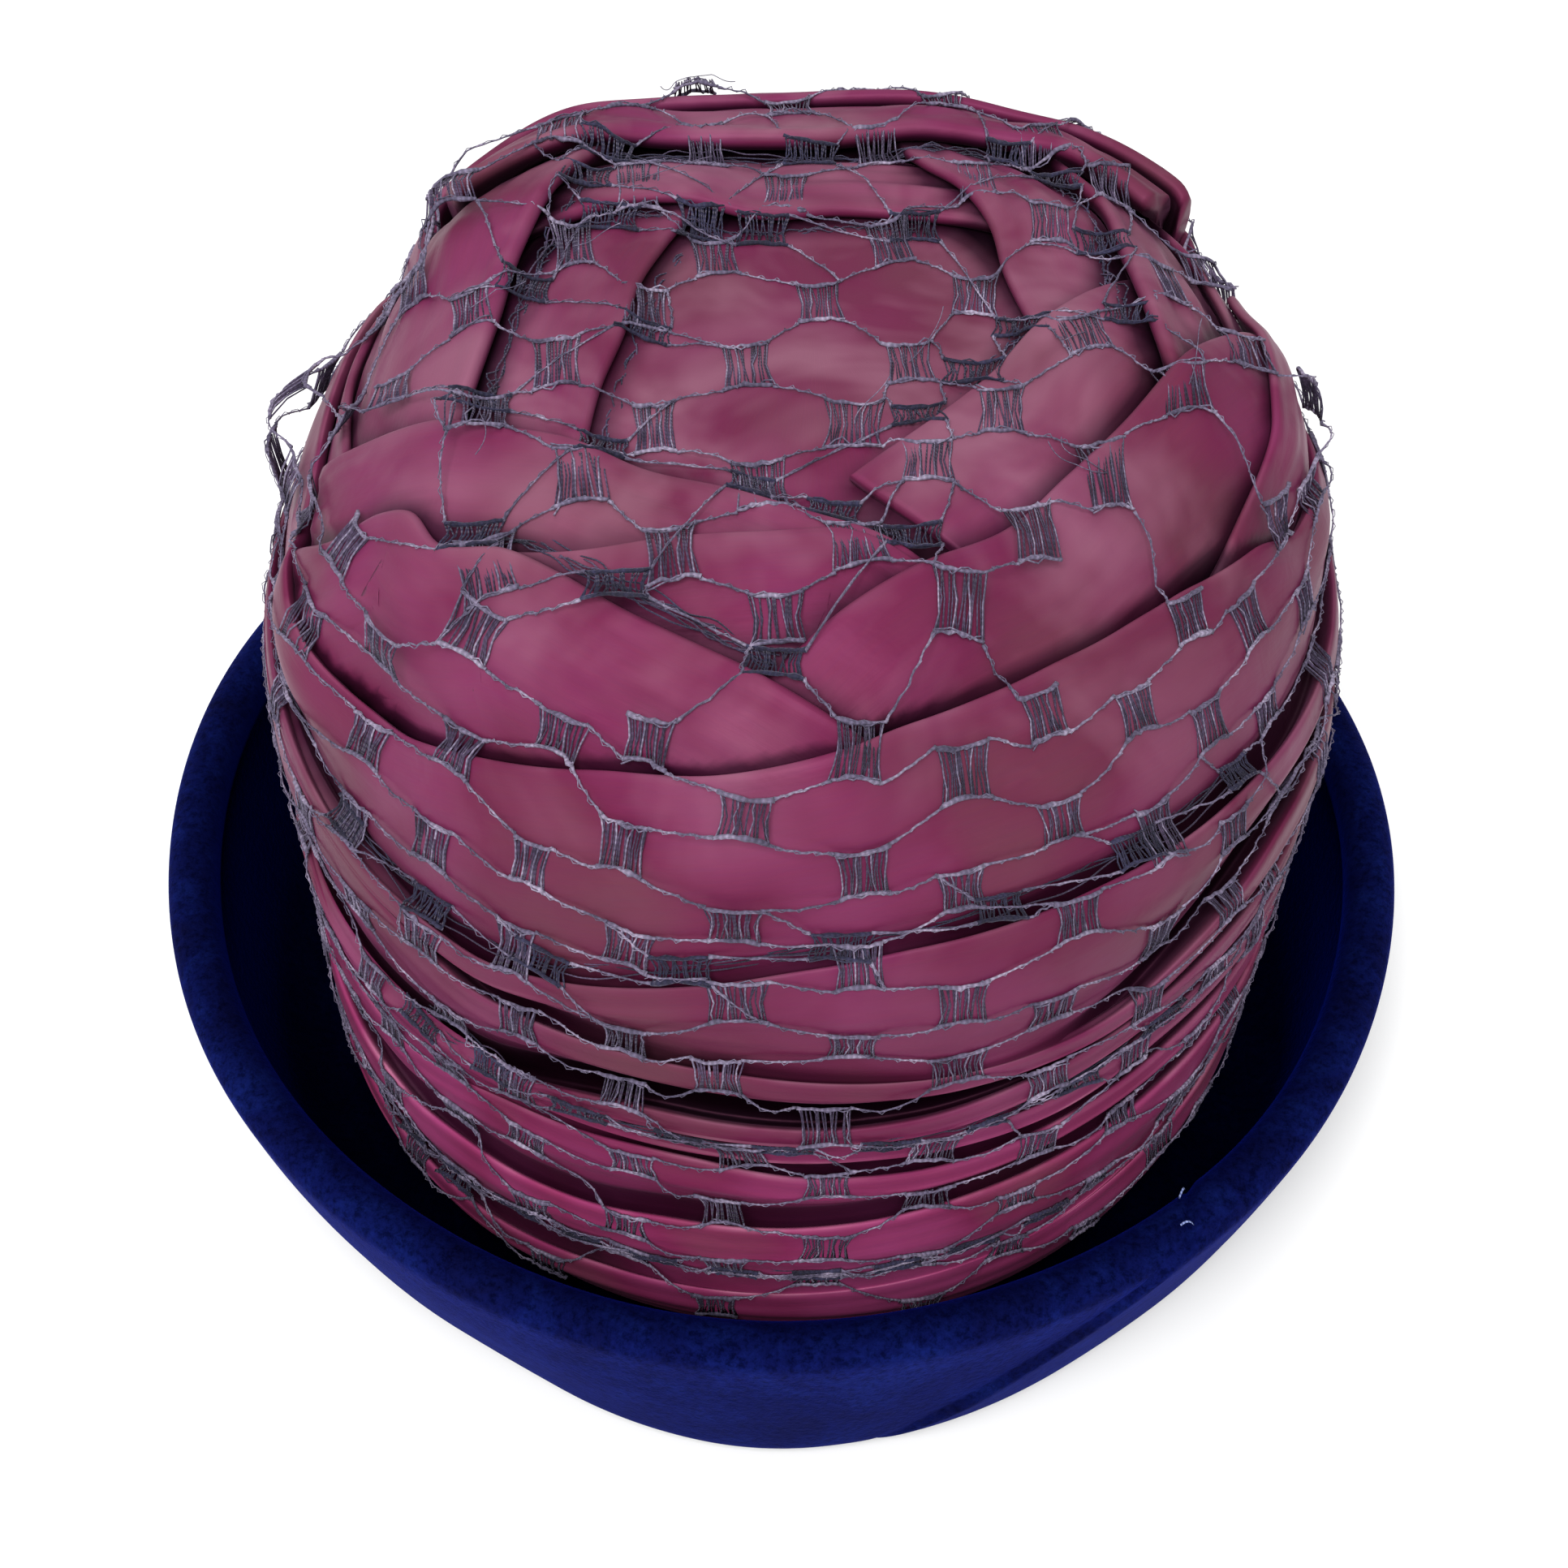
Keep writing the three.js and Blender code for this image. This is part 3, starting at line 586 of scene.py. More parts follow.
# The section's points, from the foot up the inner face, over the top fold and down through the pleats.
heights, lifts = [], []
top = round_the_hat(PLEATS[0]["at"], PLEATS[0]["height"], drape_degrees) - 1.5
for height in np.append(np.linspace(DRAPE_FOOT, 120, 7), np.linspace(126, INSIDE_TOP, 6)):
    level = DRAPE_FOOT + (top - DRAPE_FOOT) * (height - DRAPE_FOOT) / (INSIDE_TOP - DRAPE_FOOT)
    heights.append(level)
    lifts.append(np.maximum(DRAPE_INSIDE, laid_under(level, drape_angle) + CLEAR))
start = len(heights)
folds = [{key: round_the_hat(row["at"], row[key], drape_degrees, 2.0 if key == "height" else 4.0)
          for key in ("height", "fold", "gap")} for row in PLEATS]
for number, fold in enumerate(folds):
    section = FOLD_SECTION if number else FOLD_SECTION[7:]
    seat = np.zeros(DRAPE_STEPS)
    if number == 0:
        seat = laid_under(fold["height"], drape_angle) + 1.0
    for row in section:
        heights.append(fold["height"] + row["flat"] + (row["above"] - row["flat"]) * fold["fold"])
        lifts.append(seat + row["lift"] * fold["fold"] - row["drawn"] * fold["gap"])
    after = folds[number + 1] if number + 1 < len(folds) else None
    if after:
        low = after["height"] + TUCK_ABOVE
        low_lift = TUCK_LIFT * after["fold"] - TUCK_DRAWN * after["gap"]
    else:
        low, low_lift = np.full(DRAPE_STEPS, DRAPE_FOOT + 2), np.full(DRAPE_STEPS, TUCK_LIFT)
    high, high_lift = fold["height"] - FACE_BELOW, seat + FACE_LIFT * fold["fold"]
    for part in np.linspace(0, 1, 9)[1:-1]:
        sway = part * 2.1 + 0.5 * np.sin(3 * drape_angle + number)
        belly = (BELLY + RIPPLE * np.sin(2 * pi * sway + 2 * number)) * np.sin(pi * part)
        heights.append(high + (low - high) * part)
        lifts.append(high_lift + (low_lift - high_lift) * smooth(part) + belly)
heights.append(np.full(DRAPE_STEPS, DRAPE_FOOT - 0.5))
lifts.append(np.full(DRAPE_STEPS, TUCK_LIFT - 1))
heights, lifts = np.array(heights), np.array(lifts)
# No fold stands higher than 3 mm over the top one.
heights[start + 5:] = np.minimum(heights[start + 5:], heights[start] + 3)


def finer(rows):
    """Rows with a new one midway between each two, on the cubic through the four nearest."""
    before, after = np.roll(rows, 1, 0), np.roll(rows, -1, 0)
    middle = (9 * (rows + after) - (before + np.roll(rows, -2, 0))) / 16
    return np.stack([rows, middle], 1).reshape(-1, rows.shape[1])


drape_heights, drape_lifts = finer(heights), finer(lifts)
drape_places = np.broadcast_arrays(drape_angle[:, None], SIDE_LENGTH - drape_heights.T, drape_lifts.T)
drape = new_piece("side_drape_satin", [skin(lifted(*drape_places), ring=True)], satin,
                  ["side_drape"])
satin_places[drape] = [drape_places]

# How deep each point of the satin lies under cloth pulled nearly straight over the folds, from 0 to 1.
# The finish reads it and paints shade into the depths. The painted shade starts so deep, and is full so
# much deeper.
DEPTHS = {"top": (0.6, 3.0), "side": (1.0, 4.8)}
SIDE_TOP = 170          # the map of the drape's lift reaches this height, in 1 mm steps
TOP_ALONE, SIDE_ALONE = 78, 116         # distances inside which there is no drape, and past which no band
NO_CLOTH = -9           # a lift that is under everything
over = np.full((SIDE_TOP, DRAPE_STEPS), DRAPE_INSIDE)
level = np.clip(np.round(drape_heights).astype(int), 0, SIDE_TOP - 1)
np.maximum.at(over, (level, np.broadcast_to(np.arange(DRAPE_STEPS), level.shape)), drape_lifts)
over = np.maximum(over, np.maximum(np.roll(over, 1, 0), np.roll(over, -1, 0)))


def higher_lift(side_map, top_map, angle, distance):
    """The higher of the lift read from the drape's map, by height up the side and angle, and the lift
    read from the map of the top."""
    height = np.clip(SIDE_LENGTH - distance, 0, SIDE_TOP - 1.1)
    i = height.astype(int)
    u = height - i
    turn = (angle / (2 * pi) * DRAPE_STEPS) % DRAPE_STEPS
    j = turn.astype(int) % DRAPE_STEPS
    v = turn - turn.astype(int)
    k = (j + 1) % DRAPE_STEPS
    side = ((1 - u) * ((1 - v) * side_map[i, j] + v * side_map[i, k])
            + u * ((1 - v) * side_map[i + 1, j] + v * side_map[i + 1, k]))
    top = read_map(top_map, *flat_place(angle, distance))
    return np.maximum(np.where(distance < TOP_ALONE, NO_CLOTH, side),
                      np.where(distance > SIDE_ALONE, NO_CLOTH, top))


side_taut, top_taut = pulled_taut(over, 30), pulled_taut(laid, 45)
for piece, places in satin_places.items():
    starts_at, more = DEPTHS["side" if piece is drape else "top"]
    depths = []
    for angle, distance, lift in places:
        under_taut = higher_lift(side_taut, top_taut, angle.ravel(), distance.ravel()) - lift.ravel()
        depths.append(np.clip((under_taut - starts_at) / more, 0, 1))
        if piece is not drape:
            depths.append(np.zeros(2))      # the middles of the two ends
    attribute = piece.data.attributes.new("fold_depth", "FLOAT", "POINT")
    attribute.data.foreach_set("value", np.concatenate(depths).astype(np.float32))


# ---- Brim ----------------------------------------------------------------------------------------
# Navy velvet over a stiff brim, turned up all round, with a padded roll at its rim. It is joined at
# the back right, where the outer velvet laps over on the slant and is caught down with two tacks.

RIM_HALF_WIDTH, RIM_HALF_LENGTH = 118.4, 127.3
RIM_OUT, RIM_HEIGHT = 28.6, 47.0        # of the rim's outer edge from the crown's foot, and of its top
BRIM_STEPS = 640        # round the hat
# Parts of the section, counted from 0 at the foot's underside to 1 back at the foot's upper side: where
# the outer wall starts and ends, and where the rim's roll does.
OUTER_WALL, RIM_ROLL = (0.20, 0.52), (0.47, 0.78)
# The crease: degrees at rim and foot, how far its lip stands out, and degrees over which that fades.
CREASE = {"top": 305.5, "foot": 279.0, "lip": 1.5, "fades": 26.0}
# The seam over the rim: degrees, how far it slants in degrees, its depth, and half its width in degrees.
SEAM = {"at": 310.0, "slant": -9.0, "deep": 1.4, "wide": 0.5}
BRIM_SECTION = [
    # out from the crown's foot and up from the table; low: how much of the low fold's own line is in it
    {"out": -5.0, "up": 5.0, "low": 0}, {"out": -6.0, "up": 3.4, "low": 0},
    {"out": -5.6, "up": 1.0, "low": 0}, {"out": -3.5, "up": 0.1, "low": 0},
    {"out": 2.0, "up": 0.0, "low": 0.2}, {"out": 8.0, "up": 0.0, "low": 0.6},
    {"out": 12.5, "up": 0.1, "low": 1}, {"out": 15.5, "up": 1.2, "low": 1},
    {"out": 17.6, "up": 4.0, "low": 0.95}, {"out": 19.2, "up": 8.0, "low": 0.85},
    {"out": 21.6, "up": 16.0, "low": 0.6}, {"out": 23.9, "up": 24.0, "low": 0.35},
    {"out": 26.0, "up": 32.0, "low": 0.15}, {"out": 27.7, "up": 39.0, "low": 0.05},
    {"out": 28.5, "up": 42.8, "low": 0}, {"out": 28.3, "up": 44.6, "low": 0},
    {"out": 27.2, "up": 45.9, "low": 0}, {"out": 25.2, "up": 46.9, "low": 0},
    {"out": 23.0, "up": 47.0, "low": 0}, {"out": 20.9, "up": 46.0, "low": 0},
    {"out": 19.5, "up": 44.0, "low": 0}, {"out": 19.2, "up": 41.5, "low": 0},
    {"out": 20.0, "up": 39.0, "low": 0}, {"out": 21.6, "up": 36.0, "low": 0.1},
    {"out": 21.4, "up": 32.0, "low": 0.15}, {"out": 19.7, "up": 24.0, "low": 0.35},
    {"out": 17.2, "up": 15.0, "low": 0.6}, {"out": 13.6, "up": 7.0, "low": 0.85},
    {"out": 9.0, "up": 3.4, "low": 1}, {"out": 4.0, "up": 2.6, "low": 0.5},
    {"out": -1.0, "up": 3.0, "low": 0.2}, {"out": -3.4, "up": 4.2, "low": 0},
]
LOW_FOLD = {"at": [0, 60, 120, 180, 205, 225, 245, 258, 270, 290, 305, 320, 340],
            "in": [0, 3, 5, 2.5, 2.5, 2.0, 3.2, -0.5, -2.6, -0.8, 1.2, -0.2, -2.2]}


brim_angle = 2 * pi * np.arange(BRIM_STEPS) / BRIM_STEPS
brim_degrees = np.degrees(brim_angle)
low_in = round_the_hat(LOW_FOLD["at"], LOW_FOLD["in"], brim_degrees, 5.0)
section = np.array([[row["out"], row["up"], row["low"]] for row in BRIM_SECTION])
section = finer(finer(section))
out = section[:, 0][:, None] - low_in[None, :] * section[:, 2][:, None]
up = np.repeat(np.maximum(section[:, 1], 0)[:, None], BRIM_STEPS, 1)
rim_waves = 0.35 * np.sin(3 * brim_angle + 1.0) + 0.25 * np.sin(7 * brim_angle + 0.4)
out = out + rim_waves[None, :] * smooth(up / 30)

# On the outer wall the slanting crease: the velvet to its right stands out as a lip that dies away.
# Over the rim the seam is a groove, a little slanted, beside the lap's edge. Both are kept to their part
# of the section.
along_section = np.arange(len(out))[:, None] / len(out)
outer_wall = (smooth((along_section - OUTER_WALL[0]) / 0.03)
              * smooth((OUTER_WALL[1] - along_section) / 0.06))
slanting = CREASE["foot"] + (CREASE["top"] - CREASE["foot"]) * up / RIM_HEIGHT
past_crease = brim_degrees[None, :] - slanting
lip = (smooth(up / 16) * smooth(past_crease / 0.9 + 0.5)
       * np.exp(-np.maximum(past_crease, 0) / CREASE["fades"] * 2.5))
out = out + CREASE["lip"] * lip * outer_wall - 0.5 * np.exp(-(past_crease / 0.6) ** 2) * outer_wall
over_rim = smooth((along_section - RIM_ROLL[0]) / 0.03) * smooth((RIM_ROLL[1] - along_section) / 0.04)
from_seam = brim_degrees[None, :] - SEAM["at"] - SEAM["slant"] * (0.6 - along_section) / 0.3
groove = SEAM["deep"] * np.exp(-(from_seam / SEAM["wide"]) ** 2) * over_rim
lap = 0.8 * smooth(from_seam / 0.8) * np.exp(-np.maximum(from_seam, 0) / 6) * over_rim
up = np.maximum(up + (lap - groove) * smooth((up - 30) / 10), 0)

# The foot follows the crown, which stands a little to the right of the rim's middle.
x = (RIM_HALF_WIDTH - RIM_OUT + out) * np.cos(brim_angle) + CROWN_LEAN * (1 - smooth((out + 4) / 12))
y = (RIM_HALF_LENGTH - RIM_OUT + out) * np.sin(brim_angle)
brim_loops = np.stack([x, y, up], -1).transpose(1, 0, 2)

# Rayon velvet, cut pile on a matt ground, clouded in patches of about 17 mm where it has been brushed
# both ways. Round the brim's section light and shade are painted into its colour: the inner face near
# black as painted shade, where the pile is looked into, the outer wall lighter as a painted blue sheen,
# where it is looked along, and a painted highlight along the rim's outer edge, which has also rubbed.
# The pile is drawn 1.4 mm coarse, to show.
SECTION_LENGTH = 0.140  # of cloth round the brim's section, in metres
velvet, tree = new_material("rayon velvet, navy")
place = node(tree, "TexCoord")
clouds = node(tree, "TexNoise", links={"Vector": place.outputs["Object"]},
              inputs={"Scale": 60.0, "Detail": 6.0, "Roughness": 0.68, "Distortion": 0.8})
pile = node(tree, "TexNoise", links={"Vector": place.outputs["Object"]},
            inputs={"Scale": 700.0, "Detail": 3.0, "Roughness": 0.8})
ground = node(tree, "ValToRGB", links={"Fac": clouds.outputs["Fac"]},
              stops=[(0.32, "0b0d35"), (0.50, "0c134c"), (0.68, "121f63")])
# Painted light and shade round the section: a painted sheen on the outer wall, a painted highlight along
# the rim's outer edge, partly rubbed wear, and painted shade darkening the inner face to near black.
section_at = node(tree, "SeparateXYZ", links={"Vector": place.outputs["UV"]})
round_part = node(tree, "Math", operation="DIVIDE", inputs={1: SECTION_LENGTH},
                  links={0: section_at.outputs["Y"]})
painted_light_round_section = node(tree, "ValToRGB", links={"Fac": round_part.outputs[0]},
                stops=[(0.15, "a8a8a8"), (0.44, "e4e4e4"), (0.49, "ffffff"), (0.53, "c8c8c8"),
                       (0.57, "989898"), (0.66, "585858"), (0.80, "484848")])
ground_with_painted_light = node(tree, "Mix", **MULTIPLY, inputs={0: 1.0},
               links={6: ground.outputs["Color"], 7: painted_light_round_section.outputs["Color"]})
speckle = node(tree, "ValToRGB", links={"Fac": pile.outputs["Fac"]},
               stops=[(0.35, "5c5c5c"), (0.52, "d8d8d8"), (0.68, "ffffff")])
mottled = node(tree, "Mix", **MULTIPLY, inputs={0: 0.75},
               links={6: ground_with_painted_light.outputs[2], 7: speckle.outputs["Color"]})
nap = node(tree, "Bump", links={"Height": pile.outputs["Fac"]},
           inputs={"Strength": 0.5, "Distance": 0.0005})
finish_material(tree, node(
    tree, "BsdfPrincipled",
    inputs={"Roughness": 0.85, "IOR": 1.45, "Specular IOR Level": 0.04,
            "Specular Tint": linear("4060ff"), "Sheen Weight": 0.28, "Sheen Roughness": 0.4,
            "Sheen Tint": linear("0822a0")},
    links={"Base Color": mottled.outputs[2], "Normal": nap.outputs["Normal"]}))

brim = new_piece("velvet_brim", [skin(brim_loops, ring=True)], velvet, ["brim"])

# Two tacks of pale cotton thread hold the seam down on the rim: short arched stitches across it. The
# thread is matt, and its ply shows as light and dark 0.6 mm apart.
TACKS = [
    # at: degrees round the brim; in: from the rim's outer edge; length; lean
    {"at": 307.3, "in": 3.4, "length": 2.2, "lean": 1.0},
    {"at": 309.2, "in": 8.4, "length": 2.0, "lean": -0.8},
]
TACK_RADIUS, TACK_RISE, TACK_SUNK = 0.2, 1.1, 0.5

thread, tree = new_material("cotton tacking thread, pale blue")
place = node(tree, "TexCoord")
strand = node(tree, "TexWave", links={"Vector": place.outputs["UV"]},
              inputs={"Scale": 500.0, "Distortion": 1.0})
shade = node(tree, "ValToRGB", links={"Fac": strand.outputs["Fac"]},
             stops=[(0.2, "4a5684"), (0.8, "7f8cba")])
finish_material(tree, node(tree, "BsdfPrincipled", inputs={"Roughness": 0.8},
                           links={"Base Color": shade.outputs["Color"]}))

UPWARD = np.array([0.0, 0.0, 1.0])
stitches = []
for row in TACKS:
    turn, along = radians(row["at"]), np.linspace(-0.5, 0.5, 13)[:, None]
    outward = np.array([np.cos(turn), np.sin(turn), 0.0])
    aside = np.array([-np.sin(turn), np.cos(turn), 0.0])
    middle = np.array([(RIM_HALF_WIDTH - row["in"]) * np.cos(turn),
                       (RIM_HALF_LENGTH - row["in"]) * np.sin(turn), RIM_HEIGHT])
    line = (middle + along * (row["length"] * aside + row["lean"] * outward)
            + TACK_RISE * UPWARD * (1 - (2 * along) ** 2) - TACK_SUNK * UPWARD)
    ring = (2 * pi * np.arange(8) / 8)[None, :, None]
    rounds = TACK_RADIUS * (np.cos(ring) * outward + np.sin(ring) * UPWARD)
    stitches.append(skin(line[:, None, :] + rounds))
new_piece("seam_tacks", stitches, thread, [])


# ---- Veil ----------------------------------------------------------------------------------------
# Knotted rayon veil net, slate grey, laid over the satin and drawn round the side. Thin twisted cords
# join small ladders of fine threads by their corners, in a honeycomb that is stretched over the top
# and gathered beside the folds and along the pleats. Here and there a loop stands off the satin.

LADDER_COLUMNS, LADDER_ROWS = 34, 8     # columns of ladders round the side, and ladders in each
LADDER_GAP, HIGHEST = 17.0, 147.0       # between a column's ladders, and the top one's height
TOP_PITCH, TOP_GAP = 14.0, 30.0         # over the top, where the net is pulled forwards and back
TOP_LEAN, TOP_REACH = 7.0, 82.0         # degrees it is laid askew, and how far out from the middle
ASTRAY = 1.5                            # how far a ladder sits from its even place
NET_FOOT = 14.0                         # how high up the side the net ends
LADDER_WIDE, LADDER_TALL = 7.2, 7.2
SIDES_BOW = 0.14, 0.12                  # how far a ladder's upright and level sides bow in, as a part
CORD_RADIUS, STRAND_RADIUS = 0.165, 0.09
BAR_RADIUS, KNOT_RADIUS = 0.34, 0.15    # of a ladder's two bars, and of the fuzz wound along them
RUNGS = [
    # the threads between a ladder's bars: kind, how many, points along each, radius
    {"kind": "bright", "count": 4, "points": 5, "radius": 0.17},
    {"kind": "fine", "count": 16, "points": 3, "radius": 0.155},
]
# The valley code paints the net gathered in the valleys dark, as shade.
SHADE = {"bright": 0.0, "fine": 2.0, "valley": 4.0}     # added to UV's second number, read by the dye
SHADE_SPAN = 0.006                      # of that number on the dye's ramp, in metres
LONGEST_CORD, LONGEST_STRAY = 24.0, 17.0    # between two ladders, and from a corner that is left over
CORD_POINTS = 15
CORD_TURN = 2.6                         # along a cord, for one turn of the strand wound round it
BESIDE = 2.6                            # from a folded edge to the middle of the net gathered beside it
EDGE_GATHERS = [
    # net gathered beside a band's folded edge, painted dark as shade: the band's row, and the parts of
    # its edge it fills
    {"band": 0, "from": 0.15, "to": 0.9}, {"band": 1, "from": 0.2, "to": 0.8},
    {"band": 4, "from": 0.2, "to": 0.75}, {"band": 6, "from": 0.25, "to": 0.85},
    {"band": 8, "from": 0.2, "to": 0.8}, {"band": 3, "from": 0.3, "to": 0.8},
    {"band": 10, "from": 0.1, "to": 0.4}, {"band": 14, "from": 0.2, "to": 0.7},
]
PLEAT_GATHERS = [
    # the same along a pleat of the side: its row, from and to in degrees, and how far above its height
    {"pleat": 1, "from": 220, "to": 320, "above": 3}, {"pleat": 4, "from": 230, "to": 310, "above": 2},
    {"pleat": 7, "from": 240, "to": 300, "above": 8}, {"pleat": 7, "from": 190, "to": 230, "above": 3},
]
SQUEEZED_EVERY = 24.0                   # between the ladders squeezed up in gathered net
BUNCH_STRANDS, BUNCH_RADIUS = 7, 0.15
LOOSE_THREADS = 12                      # fine threads pulled out of the net, with one end standing off
# Loops that stand off the shoulder: how high, how much higher on the side where most are caught up,
# and that side in degrees.
LOOP_COUNT, LOOP_RISE, LOOP_MOST, LOOP_MOST_AT = 22, 3.4, 5.4, 195.0
chance = np.random.default_rng(11)

loop_angle = 2 * pi / LOOP_COUNT * (np.arange(LOOP_COUNT) + chance.uniform(-0.35, 0.35, LOOP_COUNT))
caught = np.clip(np.cos(loop_angle - radians(LOOP_MOST_AT)), 0, 1) ** 6
loops = np.stack([loop_angle, chance.uniform(66, 110, LOOP_COUNT),
                  (LOOP_RISE + LOOP_MOST * caught) * chance.uniform(0.6, 1.2, LOOP_COUNT),
                  chance.uniform(7.5, 12, LOOP_COUNT)], -1)     # angle, distance, height, width

side_under, top_under = pulled_taut(over, 5), pulled_taut(laid, 14)


def net_lift(angle, distance):
    """Lift of the net's underside: over the highest cloth, pulled nearly straight across the valleys,
    plus a bell for each loop that stands off."""
    lift = higher_lift(side_under, top_under, angle, distance)
    around = MEAN_RADIUS * np.interp(distance, DISTANCE, SIZE)
    for at, far, rise, wide in loops:
        aside = ((angle - at + pi) % (2 * pi) - pi) * around
        lift = lift + rise * np.exp(-(aside**2 + (distance - far) ** 2) / wide**2)
    return lift


def turned_by(vectors, angle):
    """Flat vectors turned to the left by an angle each."""
    return np.stack([vectors[..., 0] * np.cos(angle) - vectors[..., 1] * np.sin(angle),
                     vectors[..., 0] * np.sin(angle) + vectors[..., 1] * np.cos(angle)], -1)


def top_ladders():
    """Column, row and place of each ladder over the top: an even honeycomb laid a little askew, every
    other column half a gap along, and each ladder a little astray."""
    column, row = np.meshgrid(np.arange(-7, 8), np.arange(-7, 8), indexing="ij")
    held = (column + row) % 2 == 0
    column, row = column[held], row[held]
    even = np.stack([TOP_PITCH * column, TOP_GAP / 2 * row], -1)
    place = turned_by(even + chance.normal(0, ASTRAY, even.shape), radians(TOP_LEAN))
    inside = np.linalg.norm(place, axis=1) < TOP_REACH
    return column[inside], row[inside], place[inside]


def side_ladders():
    """Column, row, and place on the flattened top, of each ladder round the side: columns in even steps
    right round, every other one half a gap lower, and each ladder a little astray."""
    column, step = np.meshgrid(np.arange(LADDER_COLUMNS), np.arange(LADDER_ROWS), indexing="ij")
    column, row = column.ravel(), -(2 * step + column % 2).ravel()
    angle = 2 * pi / LADDER_COLUMNS * column + chance.normal(0, ASTRAY / MEAN_RADIUS, column.size)
    height = HIGHEST + LADDER_GAP / 2 * row + chance.normal(0, ASTRAY, column.size)
    return column, row, np.stack(flat_place(angle, SIDE_LENGTH - height), -1)


def beside_edge(row):
    """The route of the net gathered beside a band's folded edge: its line, a step to its low side."""
    line, run = line_through(BANDS[row["band"]]["edge"], 8.0)
    line = line - BESIDE * ways_along(line)[1]
    part = run / run[-1]
    return line[(part >= row["from"]) & (part <= row["to"])]


def along_pleat(row):
    """The route of the net gathered along a pleat, on the flattened top: a line above its height."""
    pleat, at = PLEATS[row["pleat"]], np.arange(row["from"], row["to"] + 1, 5.0)
    height = round_the_hat(pleat["at"], pleat["height"], at) + row["above"]
    return np.stack(flat_place(np.radians(at), SIDE_LENGTH - height), -1)


edge_routes = [beside_edge(row) for row in EDGE_GATHERS]
pleat_routes = [along_pleat(row) for row in PLEAT_GATHERS]
top_column, top_row, top_place = top_ladders()
side_column, side_row, side_place = side_ladders()
in_edges = np.concatenate([line_through(route, SQUEEZED_EVERY)[0] for route in edge_routes])
in_pleats = np.concatenate([line_through(route, SQUEEZED_EVERY)[0] for route in pleat_routes])
counts = [len(top_place), len(in_edges), len(side_place), len(in_pleats)]
centre = np.concatenate([top_place, in_edges, side_place, in_pleats])
ladder_angle, ladder_distance = place_on_top(centre[:, 0], centre[:, 1])
squeezed = np.repeat([False, True, False, True], counts)
on_side = np.repeat([False, False, True, True], counts)
ladder_turn = np.repeat([radians(TOP_LEAN), 0.0, 0.0, 0.0], counts) + np.clip(
    chance.normal(0, radians(5), len(centre)), -radians(14), radians(14))
unplaced = [np.zeros(counts[k], int) for k in (1, 3)]
net_column = np.concatenate([top_column, unplaced[0], side_column, unplaced[1]])
net_row = np.concatenate([top_row, unplaced[0], side_row, unplaced[1]])
radial = np.stack([np.cos(ladder_angle), np.sin(ladder_angle)], -1)
round_way = np.stack([-radial[:, 1], radial[:, 0]], -1)
stretch = np.maximum(ladder_distance / (MEAN_RADIUS * np.interp(ladder_distance, DISTANCE, SIZE)), 1)
rightward = round_way * np.where(round_way[:, :1] < -0.001, -1, 1)
# A ladder's right is kept to the hat's right, so on the far side it faces against the way round.
turned_back = on_side & (round_way[:, 0] < -0.001)
way = np.where(on_side[:, None], rightward, np.array([1.0, 0.0]))
way = turned_by(way / np.linalg.norm(way, axis=1, keepdims=True), ladder_turn)
rung_way = turned_by(way, pi / 2)


def spread_out(vectors):
    """Vectors in mm at the ladders, as steps on the flattened top, which is wider than the hat round
    its side: their part round the hat grows by the map's stretch. Over the top the net is pulled
    forwards and back, so a step that way is longer."""
    tangential = (vectors * round_way[:, None, :]).sum(-1) * stretch[:, None]
    outward = (vectors * radial[:, None, :]).sum(-1)
    steps = tangential[..., None] * round_way[:, None, :] + outward[..., None] * radial[:, None, :]
    pulled = 1 + 0.55 * (1 - smooth((ladder_distance - 50) / 50))
    return steps * np.stack([np.ones(len(pulled)), pulled], -1)[:, None, :]


def on_ladders(across, up):
    """Places on the flattened top of points of every ladder, from parts of its half width and height.
    Its four sides bow in, so its corners are drawn out."""
    x = across * (1 - SIDES_BOW[0] + SIDES_BOW[0] * up**2) * half_wide[:, None]
    y = up * (1 - SIDES_BOW[1] + SIDES_BOW[1] * across**2) * half_tall[:, None]
    vectors = way[:, None, :] * x[..., None] + rung_way[:, None, :] * y[..., None]
    return centre[:, None, :] + spread_out(vectors)


def on_net(spots, lift):
    """Points on the hat of places on the flattened top, at a lift over the net's underside. None is
    lower than the net's foot, which the brim hides."""
    angle, distance = place_on_top(spots[..., 0], spots[..., 1])
    distance = np.minimum(distance, SIDE_LENGTH - NET_FOOT)
    return lifted(angle, distance, net_lift(angle, distance) + lift)


low = smooth((ladder_distance - 130) / 60)
half_wide = LADDER_WIDE / 2 * (1 + 0.08 * chance.standard_normal(len(way)))
half_tall = LADDER_TALL / 2 * (1 - 0.2 * low) * (1 + 0.12 * chance.standard_normal(len(way)))
half_tall = np.where(squeezed, 0.5 * half_tall, half_tall)
half_wide = np.where(squeezed, 1.15 * half_wide, half_wide)
CORNERS = np.array([[-1, -1], [1, -1], [1, 1], [-1, 1]])    # of a ladder, round from the lower left
corner_at = on_ladders(*CORNERS.T * 1.04)
corner_ways = (way[:, None, :] * CORNERS[None, :, :1] * 0.8
               + rung_way[:, None, :] * CORNERS[None, :, 1:] * 0.6)


